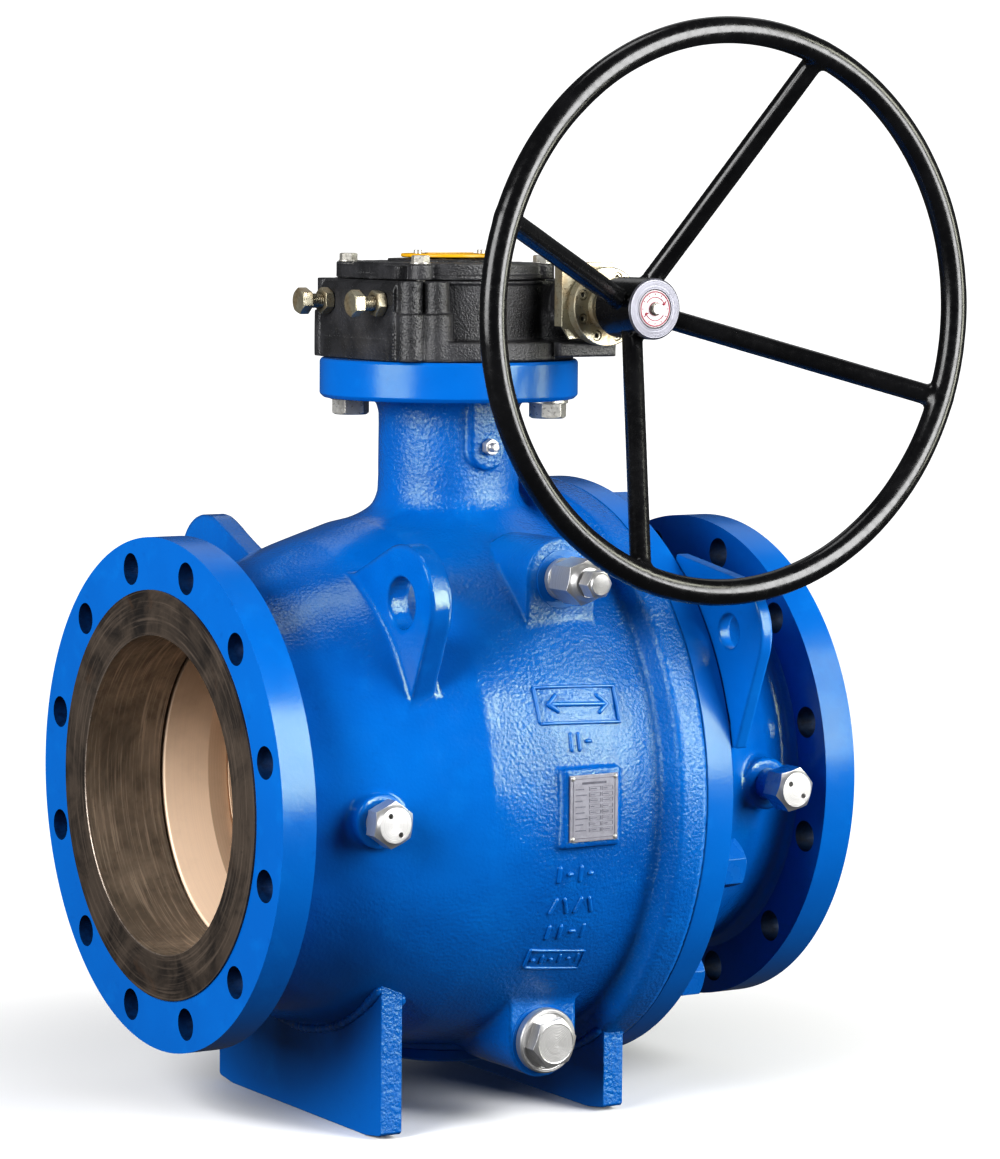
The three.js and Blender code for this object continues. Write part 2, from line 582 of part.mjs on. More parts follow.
function gearboxCover() {
  const z0 = GEAR_SPLIT + 0.4;
  const shape = union(
    cut(rod('z', z0, COVER_TOP, 79, 32), box(60.5, 100, -100, 100, 380, 430)),
    plateZ([[-79, -48], [0, -54], [0, 54], [-79, 46]], z0, COVER_TOP - 2),
    ...COVER_BOLTS.map(([x, y]) => rod('z', z0, COVER_TOP - 0.8, 9.8, 10, [x, y, 0])),
    rod('z', COVER_TOP - OVER, COVER_TOP + 2.4, 50, 24),
  );
  return cut(
    shape,
    rod('z', z0 - OVER, COVER_TOP + 4, 15.6, STEM_SEG),
    ...COVER_BOLTS.map(([x, y]) => rod('z', z0 - OVER, COVER_TOP + OVER, 4.4, 8, [x, y, 0])),
  );
}
put('gearbox_cover', gearboxCover(), MAT.blackIron);

COVER_BOLTS.forEach(([x, y], i) => {
  const bolt = fastener('z', [x, y, 0],
    [COVER_TOP + GAP, COVER_TOP + 6.2, 13], [386, COVER_TOP + 1, 4, 8]);
  put(`cover_bolt_${i + 1}`, bolt, MAT.yellowZinc);
});

// The -X, -Y corner is held by a headless stud, the other three by bolts from below.
CORNERS.forEach((angle, i) => {
  const at = aroundZ(TOP_PCR, angle);
  if (angle === 225) {
    put('operator_mount_stud', rod('z', 308.6, 348.4, 10, 8, at), MAT.brightZinc);
    return;
  }
  const bolt = fastener('z', at,
    [304.8, 292.6, 27, 0.26], [304.6, 307.7, 16.4, 12], [306, 348.4, 10, 8]);
  put(`operator_mount_bolt_${i + 1}`, bolt, MAT.brightZinc);
});

STOP_SCREWS.forEach((at, i) => {
  const screw = fastener('x', at, [-108.5, -117, 19], [-110, -49.9, 6, 10]);
  const nut = cut(hexBar('x', at, -88.3, -96, 19, 0.5), rod('x', -120, -60, 6.3, 10, at));
  put(`stop_screw_${i + 1}`, screw, MAT.yellowZinc);
  put(`stop_lock_nut_${i + 1}`, nut, MAT.yellowZinc);
});

// Worm-wheel sector: 118 degrees of teeth with a stop lug at each end.
function wormWheel() {
  const step = 360 / TEETH;
  const rootR = WHEEL_PR - 3.2;
  const tipR = WHEEL_PR + ADDENDUM;
  const halfAngle = r =>
    THREE.MathUtils.radToDeg((HALF_TOOTH - (r - WHEEL_PR) * FLANK) / WHEEL_PR);
  const outline = [];
  for (let k = -3; k <= 13; k++) {
    const middle = step * (k + 0.5); // a tooth gap faces +X
    outline.push(
      polar(rootR, middle - halfAngle(rootR)), polar(tipR, middle - halfAngle(tipR)),
      polar(tipR, middle + halfAngle(tipR)), polar(rootR, middle + halfAngle(rootR)),
    );
  }
  const begin = -3 * step;
  const end = 14 * step;
  // The lug face at x = -stop meets one screw when open; the face at y = -stop meets
  // the other after a quarter turn.
  const stop = 49.5;
  outline.push(
    polar(rootR, end), [-stop, stop], [-stop, 32],
    ...[152, 178, 200, 225, 250, 272, 298].map(angle => polar(42, angle)),
    [32, -stop], [stop, -stop], polar(rootR, begin),
  );

  // Skew the teeth to the worm's lead angle.
  const sector = prism(outline, -12, 12);
  const position = sector.attributes.position;
  const skew = MODULE / (2 * WORM_PR) / WHEEL_PR; // radians per mm of z
  const margin = 0.01;
  for (let i = 0; i < position.count; i++) {
    const x = position.getX(i);
    const y = position.getY(i);
    const angle = Math.atan2(y, x);
    const inTeeth = Math.hypot(x, y) > 60
      && angle > THREE.MathUtils.degToRad(begin) - margin
      && angle < THREE.MathUtils.degToRad(end) + margin;
    if (!inTeeth) continue;
    const turn = position.getZ(i) * skew;
    const cos = Math.cos(turn);
    const sin = Math.sin(turn);
    position.setXY(i, x * cos - y * sin, x * sin + y * cos);
  }
  const slotHalf = KEYWAY.half + GAP;
  return cut(
    union(solid(sector).translate([0, 0, WORM_Z]), rod('z', 350.6, 403, 35, STEM_SEG)),
    rod('z', 340, 410, 22.8, STEM_SEG),
    box(-slotHalf, slotHalf, -26.5, 0, 340, 410),
  );
}
put('worm_wheel', wormWheel(), MAT.bronze);

const KEY_HALF = KEYWAY.half - GAP;
put('worm_wheel_key', box(-KEY_HALF, KEY_HALF, -26.1, KEYWAY.y - GAP,
  KEYWAY.z0 + GAP, KEYWAY.z1 - GAP), MAT.steel);
put('position_indicator', turned('z', [
  [421.4, 0], [421.4, 38.8], [422, 39.5], [424, 39.5], [424.6, 38.9], [424.6, 0],
], 28), MAT.yellow);

// Single-start right-hand worm on the input shaft.
function wormShaft() {
  const rootR = WORM_PR - 3;
  const buriedR = rootR - 1.5; // the thread's foot is sunk in the shaft
  const stepsPerTurn = 8;
  const turns = 6;
  const buriedHalf = HALF_TOOTH + (WORM_PR - buriedR) * FLANK;
  const tipHalf = HALF_TOOTH - ADDENDUM * FLANK;
  const tipR = WORM_PR + ADDENDUM;
  const corners = [ // radius, y offset
    [buriedR, -buriedHalf], [tipR, -tipHalf], [tipR, tipHalf], [buriedR, buriedHalf],
  ];
  // Angles start at the mesh side (-X of the shaft), where a crest sits at y = 0.
  const sections = Array.from({ length: stepsPerTurn * turns + 1 }, (_, i) => {
    const turn = i / stepsPerTurn;
    const y = (turn - turns / 2) * PITCH;
    const angle = 2 * Math.PI * turn;
    return corners.map(([r, offset]) =>
      [WORM_X - r * Math.cos(angle), y + offset, WORM_Z + r * Math.sin(angle)]);
  });
  const shaft = turned('y', [
    [-176, 0], [-176, 10], [-76, 10], [-58, 10], [-58, 11.6], [-32, 11.6], [-32, rootR],
    [32, rootR], [32, 11.6], [58, 11.6], [58, 10], [77, 10], [77, 0],
  ], 16).translate(WORM_AT);
  return cut(union(shaft, sweep(sections, false)), rod('y', -177, -162, 3.3, 10, WORM_AT));
}
put('worm_shaft', wormShaft(), MAT.steel);

for (const [tag, y0, y1] of [['outer', -75, -60], ['inner', 60, 75]]) {
  const bearing = tube('y', y0, y1, 10.3, 18.6, 16).translate(WORM_AT);
  put(`worm_bearing_${tag}`, bearing, MAT.bronze);
}

function inputFlange() {
  const flange = turned('y', [
    [-127, 10.4], [-127, 14.5], [-119, 14.5], [-119, 18], [-112.1, 18], [-112.1, 30.8],
    [-111.1, 31.8], [-102.6, 31.8], [-102.6, 18.5], [-90, 18.5], [-90, 10.4],
  ], 16).translate(WORM_AT);
  const holes = Array.from({ length: 8 }, (_, i) => {
    const [x, z] = polar(25, 22.5 + 45 * i);
    return rod('y', -113, -102, 2.2, 6, [WORM_X + x, 0, WORM_Z + z]);
  });
  return cut(flange, ...holes);
}
put('input_flange', inputFlange(), MAT.yellowZinc);

const inputDustPlate = () => cut(
  union(
    plateY([[43, 368], [50, 358], [92, 358], [92, 419], [43, 419]], -102.3, -100.4),
    box(43, 92, -101, -90, 417, 419), // top lip
    box(43, 45, -101, -91, 368, 419), // -X lip
  ),
  rod('y', -110, -95, 19.2, 16, WORM_AT),
  rod('y', -100.2, -50, 28, 20, WORM_AT),
  box(80, 100, -99.9, -80, 400, 430),
);
put('input_dust_plate', inputDustPlate(), MAT.yellowZinc);

// --------------------------------------------------------------- handwheel
const RIM_Y = -284;
const RIM_R = 214.5;
const RIM_TUBE_R = 10.2;
const HUB_FRONT = -179.7;
const HUB_BACK = -130;
const HUB_R = 24.3;
const SPOKE_R = 8.1;
const SPOKES = [67.9, 160.6, 248.1, 341.1]; // degrees from +X, not quite square

// Spoke sloping from inside the hub out to the rim.
function spoke(degrees) {
  const [hubX, hubZ] = polar(16, degrees);
  const [rimX, rimZ] = polar(RIM_R, degrees);
  const start = new THREE.Vector3(hubX, -156, hubZ);
  const end = new THREE.Vector3(rimX, RIM_Y + 1, rimZ);
  const along = end.clone().sub(start);
  const middle = start.add(end).multiplyScalar(0.5);
  const geometry = new THREE.CylinderGeometry(SPOKE_R, SPOKE_R, along.length(), 6);
  geometry.applyQuaternion(new THREE.Quaternion()
    .setFromUnitVectors(new THREE.Vector3(0, 1, 0), along.normalize()));
  geometry.translate(WORM_X + middle.x, middle.y, WORM_Z + middle.z);
  return solid(geometry);
}

function handwheel() {
  const rim = new THREE.TorusGeometry(RIM_R, RIM_TUBE_R, 6, 40).rotateX(Math.PI / 2);
  rim.translate(WORM_X, RIM_Y, WORM_Z);
  const hub = rod('y', HUB_FRONT, HUB_BACK, HUB_R, 20, WORM_AT);
  return cut(
    union(solid(rim), hub, ...SPOKES.map(spoke)),
    rod('y', HUB_FRONT - OVER, HUB_BACK + OVER, 10.3, 16, WORM_AT),
    rod('y', HUB_FRONT - OVER, HUB_FRONT + 3, 15.3, 16, WORM_AT), // cap recess
  );
}
put('handwheel', handwheel(), MAT.gloss);
put('handwheel_cap', turned('y', [
  [-179.9, 3.4], [-179.9, 14.6], [-179.3, 15], [-177.2, 15], [-177.2, 3.4],
], 16).translate(WORM_AT), MAT.plate);
put('handwheel_screw', fastener('y', WORM_AT,
  [-180.2, -184, 8], [-181, -163, 3, 10]), MAT.stainless);

// Set down on the floor, origin under the inlet-side foot.
group.position.set(-(FOOT_X[0] + FOOT_X[1]) / 2, 0, -FOOT_Z);
group.updateMatrixWorld(true);

export default group;
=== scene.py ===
# A flanged ball valve with a worm gearbox and a handwheel.
# x runs along the bore with the inlet at -x, z is up along the stem, and the handwheel
# faces -y. Lengths are millimetres from the ball centre unless a name ends in _M.
import json
import math

import bmesh
import bpy
import numpy as np
from mathutils import Matrix, Vector


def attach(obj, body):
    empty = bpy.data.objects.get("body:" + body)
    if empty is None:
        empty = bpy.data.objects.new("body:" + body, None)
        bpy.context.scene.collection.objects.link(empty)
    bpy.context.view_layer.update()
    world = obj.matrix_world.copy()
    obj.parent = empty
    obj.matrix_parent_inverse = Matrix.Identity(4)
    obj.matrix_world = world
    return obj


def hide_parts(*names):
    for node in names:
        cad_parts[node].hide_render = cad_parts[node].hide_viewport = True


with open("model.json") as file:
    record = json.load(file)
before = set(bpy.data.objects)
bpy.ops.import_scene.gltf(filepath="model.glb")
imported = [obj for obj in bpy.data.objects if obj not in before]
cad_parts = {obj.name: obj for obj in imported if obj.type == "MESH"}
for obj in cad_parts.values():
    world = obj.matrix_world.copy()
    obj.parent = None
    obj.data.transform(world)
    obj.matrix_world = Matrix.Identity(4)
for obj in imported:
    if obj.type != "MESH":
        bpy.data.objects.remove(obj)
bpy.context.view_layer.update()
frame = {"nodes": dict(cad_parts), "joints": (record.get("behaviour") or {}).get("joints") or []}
VOXEL_SCALE = 1.0
BALL_JOINT = next(j for j in frame["joints"] if j["name"] == "ball_quarter_turn")
ORIGIN = np.array(BALL_JOINT["pos_m"], float) * 1000.0
ORIGIN_M = ORIGIN / 1000
scene = bpy.context.scene
rad = math.radians

# ---------------------------------------------------------------- driving dimensions
BORE_R = 126
BALL_R = 185
SEAT_SPHERE_R = 187            # spherical front of the seat carriers
END_BOLT_CIRCLE_R = 181
END_BOLT_HOLE_R = 12.7
END_BOLT_ANGLES = [15 + 30 * i for i in range(12)]
STUD_CIRCLE_R = 217            # studs through the split ring
INLET_PLATE_X = (-138.8, -119.5)   # inlet foot and body lugs share these planes
OUTLET_FOOT_X = (69.2, 88)
BLEED_AT = (0, 0, 174)
DRAIN_AT = (0, 0, -195)
BODY_SEALANT_AT = (-173, 0, -2.5)
CLOSURE_SEALANT_AT = (194.5, 0, 0)
COVER_SCREW_R = 48             # bottom cover screw circle
MOUNT_BOLT_R = 82.5            # operator flange bolt circle
STOP_Y, STOP_Z = 42, 386       # stop screws, one each side of the stem
SHAFT_X, SHAFT_Z = 80, 384     # input shaft, parallel to y
SHAFT_AT = (SHAFT_X, 0, SHAFT_Z)
INPUT_SCREW_R = 25
HEX_COUNT = 48                 # segments round every piece with a hexagon


# ---------------------------------------------------------------- shader nodes
class Nodes:
    """Writes the node tree of a material or a world."""

    def __init__(self, owner):
        owner.use_nodes = True
        self.tree = owner.node_tree
        self.tree.nodes.clear()

    def feed(self, socket, value):
        """Links an output to the socket, or sets its value; colours gain an alpha of 1."""
        if isinstance(value, bpy.types.NodeSocket):
            self.tree.links.new(value, socket)
        else:
            socket.default_value = (*value, 1.0) if socket.type == "RGBA" else value

    def node(self, kind, inputs=(), **settings):
        node = self.tree.nodes.new(kind)
        for key, value in settings.items():
            setattr(node, key, value)
        for key, value in dict(inputs).items():
            self.feed(node.inputs[key], value)
        return node


class Finish(Nodes):
    """A procedural material on object coordinates."""
    SOCKETS = {"color": "Base Color", "rough": "Roughness", "metal": "Metallic",
               "spec": "Specular IOR Level", "spec_tint": "Specular Tint"}

    def __init__(self, name):
        self.material = bpy.data.materials.new(name)
        super().__init__(self.material)
        self.output = self.node("ShaderNodeOutputMaterial")
        self.shader = self.node("ShaderNodeBsdfPrincipled")
        self.feed(self.output.inputs[0], self.shader.outputs[0])
        self.coords = self.node("ShaderNodeTexCoord").outputs["Object"]
        self.normal = None

    def noise(self, scale, detail, rough=0.5, distort=0.0, coords=None):
        inputs = {"Scale": scale, "Detail": detail, "Roughness": rough,
                  "Distortion": distort, "Vector": coords or self.coords}
        return self.node("ShaderNodeTexNoise", inputs).outputs["Fac"]

    def pebbles(self, scale, smooth):
        inputs = {"Scale": scale, "Smoothness": smooth, "Vector": self.coords}
        node = self.node("ShaderNodeTexVoronoi", inputs, feature="SMOOTH_F1")
        return node.outputs["Distance"]

    def calc(self, operation, first, second=0.0, clamp=False):
        return self.node("ShaderNodeMath", {0: first, 1: second},
                         operation=operation, use_clamp=clamp).outputs[0]

    def ramp(self, factor, between, to=(0.0, 1.0)):
        """Smooth step from one range to another."""
        inputs = {0: factor, 1: between[0], 2: between[1], 3: to[0], 4: to[1]}
        return self.node("ShaderNodeMapRange", inputs,
                         interpolation_type="SMOOTHSTEP").outputs[0]

    def share(self, factor, between, amount):
        return self.calc("MULTIPLY", self.ramp(factor, between), amount)

    def blend(self, color, over, factor, between, amount=None):
        """Lays one colour over another where the factor rises through a range."""
        if amount is None:
            cover = self.ramp(factor, between)
        else:
            cover = self.share(factor, between, amount)
        return self.node("ShaderNodeMix", {0: cover, 6: color, 7: over},
                         data_type="RGBA").outputs[2]

    def bump(self, height, strength, distance):
        """Adds a bump layer over the earlier ones."""
        inputs = {"Strength": strength, "Distance": distance, "Height": height}
        if self.normal is not None:
            inputs["Normal"] = self.normal
        self.normal = self.node("ShaderNodeBump", inputs).outputs[0]
        self.feed(self.shader.inputs["Normal"], self.normal)

    def split(self, coords=None):
        return self.node("ShaderNodeSeparateXYZ", {0: coords or self.coords}).outputs

    def axis_radius(self, xyz):
        squares = [self.calc("MULTIPLY", xyz[i], xyz[i]) for i in range(2)]
        return self.calc("SQRT", self.calc("ADD", *squares))

    def paint(self, **values):
        for key, value in values.items():
            self.feed(self.shader.inputs[self.SOCKETS[key]], value)


def scaled(color, factor):
    return tuple(min(1, c * factor) for c in color)


# ---------------------------------------------------------------- materials
BLUE = (0.0003, 0.108, 0.405)
BLUE_MID = (0.0003, 0.093, 0.36)
BLUE_DARK = (0.0003, 0.080, 0.32)
BLUE_LIGHT = (0.001, 0.135, 0.46)
BLUE_POOLED = (0.0003, 0.058, 0.24)


def sand_cast_zones(mat):
    """Strength of the sand-cast skin: most on the split-ring side and up the neck."""
    x = mat.split()[0]
    z = mat.split()[2]
    ball_x, ball_z = ORIGIN_M[0], ORIGIN_M[2]
    band = mat.calc("MAXIMUM",
                    mat.ramp(x, between=(ball_x - 0.01, ball_x + 0.06)),
                    mat.share(x, between=(ball_x - 0.10, ball_x - 0.03), amount=0.75))
    neck = mat.ramp(z, between=(ball_z + 0.215, ball_z + 0.25))
    patches = mat.share(mat.noise(scale=9, detail=2), between=(0.45, 0.66), amount=0.5)
    strongest = mat.calc("MAXIMUM", mat.calc("MAXIMUM", band, neck), patches)
    return mat.calc("ADD", mat.calc("MULTIPLY", strongest, 0.85), 0.16, clamp=True)


def enamel(name, pebble, rough, sand_cast=False, wrinkle=0.0):
    mat = Finish(name)
    color = mat.blend(BLUE_DARK if sand_cast else BLUE_MID, BLUE,
                      mat.noise(scale=7, detail=3, rough=0.55), between=(0.3, 0.72))
    color = mat.blend(color, BLUE_LIGHT, mat.noise(scale=38, detail=4, rough=0.6),
                      between=(0.52, 0.75), amount=0.35)
    color = mat.blend(color, BLUE_POOLED, mat.noise(scale=120, detail=2),
                      between=(0.62, 0.8), amount=0.22)
    even = pebble < 0.1
    low, high = (0.94, 1.10) if even else (0.75, 1.45)
    mat.paint(color=color, spec=0.36 if even else 0.56, spec_tint=(0.86, 1.0, 0.42),
              rough=mat.ramp(mat.noise(scale=55, detail=3, rough=0.6),
                             between=(0.3, 0.75), to=(rough * low, rough * high)))
    strength = pebble
    if sand_cast:
        strength = mat.calc("MULTIPLY", sand_cast_zones(mat), pebble)
    skin = mat.calc("ADD", mat.calc("MULTIPLY", mat.pebbles(scale=360, smooth=0.8), 0.7),
                    mat.noise(scale=420, detail=4, rough=0.62, distort=0.6))
    mat.bump(skin, strength=strength, distance=0.00075)
    if wrinkle:
        mat.bump(mat.noise(scale=130, detail=3, rough=0.55, distort=1.2),
                 strength=wrinkle, distance=0.0013)
    mat.bump(mat.noise(scale=24, detail=2, rough=0.4), strength=0.10, distance=0.004)
    return mat.material


def turned(name, color, rough, rings, ring_depth, dirt=0.2, dirt_color=(0.05, 0.04, 0.035),
           scratch=0.3, alt=None, metal=1.0, darkening=None):
    """Lathe-turned metal: rings about the piece's own axis, fine scratches, some soil.

    The optional last argument is (low z, high z, amount, colour) of a painted shade that grows
    upwards by world height, in metres: the upper part is painted darker.
    """
    mat = Finish(name)
    xyz = mat.split()
    along = mat.calc("ADD", mat.axis_radius(xyz), xyz[2])
    ripple = mat.calc("SINE", mat.calc("MULTIPLY", along, rings))
    ripple = mat.calc("MULTIPLY", ripple,
                      mat.ramp(mat.noise(scale=90, detail=2), between=(0.3, 0.7), to=(0.3, 1.0)))
    line = mat.node("ShaderNodeCombineXYZ", {0: mat.calc("MULTIPLY", along, 900.0)})
    band = mat.noise(scale=1.0, detail=2.0, coords=line.outputs[0])
    soil = mat.noise(scale=45, detail=5, rough=0.65)
    stretch = mat.node("ShaderNodeMapping", {"Scale": (1.0, 0.08, 0.35), "Vector": mat.coords})
    scratches = mat.noise(scale=600, detail=2, rough=0.6, coords=stretch.outputs[0])
    paint = mat.blend(color, alt or scaled(color, 0.82), band, between=(0.35, 0.7))
    paint = mat.blend(paint, dirt_color, soil, between=(0.5, 0.78), amount=dirt)
    # painted shade: darker towards the top by world height, with a noisy edge
    if darkening:
        low, high, amount, shade_color = darkening
        position = mat.node("ShaderNodeNewGeometry").outputs["Position"]
        z = mat.split(position)[2]
        centred = mat.calc("SUBTRACT", mat.noise(scale=14, detail=4, rough=0.6), 0.5)
        height = mat.calc("ADD", z, mat.calc("MULTIPLY", centred, 0.06))
        cover = mat.ramp(height, between=(low, high), to=(0.0, amount))
        paint = mat.node("ShaderNodeMix", {0: cover, 6: paint, 7: shade_color},
                         data_type="RGBA").outputs[2]
    sheen = mat.calc("ADD",
                     mat.ramp(band, between=(0.3, 0.7), to=(rough * 0.8, rough * 1.25)),
                     mat.share(soil, between=(0.5, 0.8), amount=dirt * 0.35))
    mat.paint(color=paint, metal=metal, rough=sheen)
    mat.bump(ripple, strength=ring_depth, distance=0.00012)
    mat.bump(scratches, strength=scratch * 0.35, distance=0.0003)
    return mat.material


def plated(name, color, alt, rough, metal, tint=0.5, bump=0.15, scale=60):
    mat = Finish(name)
    fine = mat.noise(scale=scale * 6, detail=3, rough=0.6)
    paint = mat.blend(color, alt, mat.noise(scale=scale, detail=3, rough=0.6),
                      between=(0.38, 0.66), amount=tint)
    paint = mat.blend(paint, scaled(color, 0.45), fine, between=(0.6, 0.8), amount=0.35)
    mat.paint(color=paint, metal=metal,
              rough=mat.ramp(fine, between=(0.3, 0.75), to=(rough * 0.75, rough * 1.4)))
    mat.bump(mat.noise(scale=420, detail=3, rough=0.6), strength=bump, distance=0.0004)
    return mat.material


def soiled(name, base, dark, rust, rough, metal, face=False):
    """Bare machined steel with brown-grey film, streaks round its axis and rust blooms."""
    mat = Finish(name)
    xyz = mat.split()
    darkening = mat.noise(scale=15 if face else 9, detail=5, rough=0.66, distort=0.8)
    angle = mat.calc("ARCTAN2", xyz[1], xyz[0])
    across = mat.axis_radius(xyz) if face else xyz[2]
    line = mat.node("ShaderNodeCombineXYZ", {0: mat.calc("MULTIPLY", across, 420.0),
                                             1: mat.calc("MULTIPLY", angle, 1.6)})
    streak = mat.noise(scale=1.0, detail=5.0, rough=0.62, coords=line.outputs[0])
    fine = mat.noise(scale=260, detail=4, rough=0.6)
    color = mat.blend(base, dark, darkening, between=(0.34, 0.66))
    color = mat.blend(color, scaled(base, 1.9), streak, between=(0.48, 0.7), amount=0.6)
    color = mat.blend(color, rust, mat.noise(scale=17, detail=5, rough=0.7, distort=1.0),
                      between=(0.58, 0.76), amount=0.55)
    color = mat.blend(color, dark, fine, between=(0.6, 0.75), amount=0.35)
    sheen = mat.calc("ADD",
                     mat.ramp(darkening, between=(0.3, 0.7), to=(rough * 0.85, rough * 1.3)),
                     mat.share(fine, between=(0.4, 0.8), amount=0.12))
    mat.paint(color=color, metal=metal, rough=sheen)
    mat.bump(streak, strength=0.25, distance=0.0005)
    mat.bump(fine, strength=0.12, distance=0.0004)
    return mat.material


def cast_iron(name):
    mat = Finish(name)
    cloud = mat.noise(scale=30, detail=4, rough=0.6)
    color = mat.blend((0.014, 0.014, 0.015), (0.031, 0.031, 0.034), cloud, between=(0.35, 0.7))
    color = mat.blend(color, (0.055, 0.055, 0.06), mat.noise(scale=380, detail=4, rough=0.6),
                      between=(0.58, 0.8), amount=0.5)
    dust = mat.noise(scale=14, detail=5, rough=0.65)
    color = mat.blend(color, (0.05, 0.045, 0.04), dust, between=(0.55, 0.8), amount=0.35)
    mat.paint(color=color, metal=0.0, spec=0.6,
              rough=mat.ramp(cloud, between=(0.3, 0.75), to=(0.25, 0.42)))
    grain = mat.calc("ADD", mat.pebbles(scale=620, smooth=0.7),
                     mat.noise(scale=900, detail=4, rough=0.65))
    mat.bump(grain, strength=0.85, distance=0.0005)
    mat.bump(mat.noise(scale=60, detail=2), strength=0.12, distance=0.002)
    return mat.material


def gloss_black(name):
    mat = Finish(name)
    fine = mat.noise(scale=190, detail=3, rough=0.6)
    color = mat.blend((0.0028, 0.0028, 0.0032), (0.006, 0.006, 0.0066),
                      mat.noise(scale=22, detail=4, rough=0.6), between=(0.4, 0.7))
    chips = mat.noise(scale=75, detail=5, rough=0.7, distort=0.5)
    color = mat.blend(color, (0.035, 0.032, 0.03), chips, between=(0.74, 0.79), amount=0.4)
    mat.paint(color=color, spec=0.5,
              rough=mat.ramp(fine, between=(0.3, 0.75), to=(0.17, 0.30)))
    mat.bump(fine, strength=0.07, distance=0.0005)
    mat.bump(mat.noise(scale=45, detail=2), strength=0.05, distance=0.002)
    return mat.material


def soft(name, color, alt, rough, scale=90, bump=0.15, spec=0.5):
    """Plain non-metal with slight mottling."""
    mat = Finish(name)
    paint = mat.blend(color, alt, mat.noise(scale=scale, detail=4, rough=0.6),
                      between=(0.35, 0.7))
    mat.paint(color=paint, spec=spec,
              rough=mat.ramp(mat.noise(scale=scale * 3, detail=3), between=(0.3, 0.7),
                             to=(rough * 0.8, rough * 1.2)))
    mat.bump(mat.noise(scale=scale * 4, detail=3, rough=0.6), strength=bump, distance=0.0004)
    return mat.material


# painted shade over the upper part of the seats, darker upwards
SEAT_TOP_SHADE = (ORIGIN_M[2] - 0.05, ORIGIN_M[2] + 0.11, 0.78, (0.10, 0.072, 0.052))

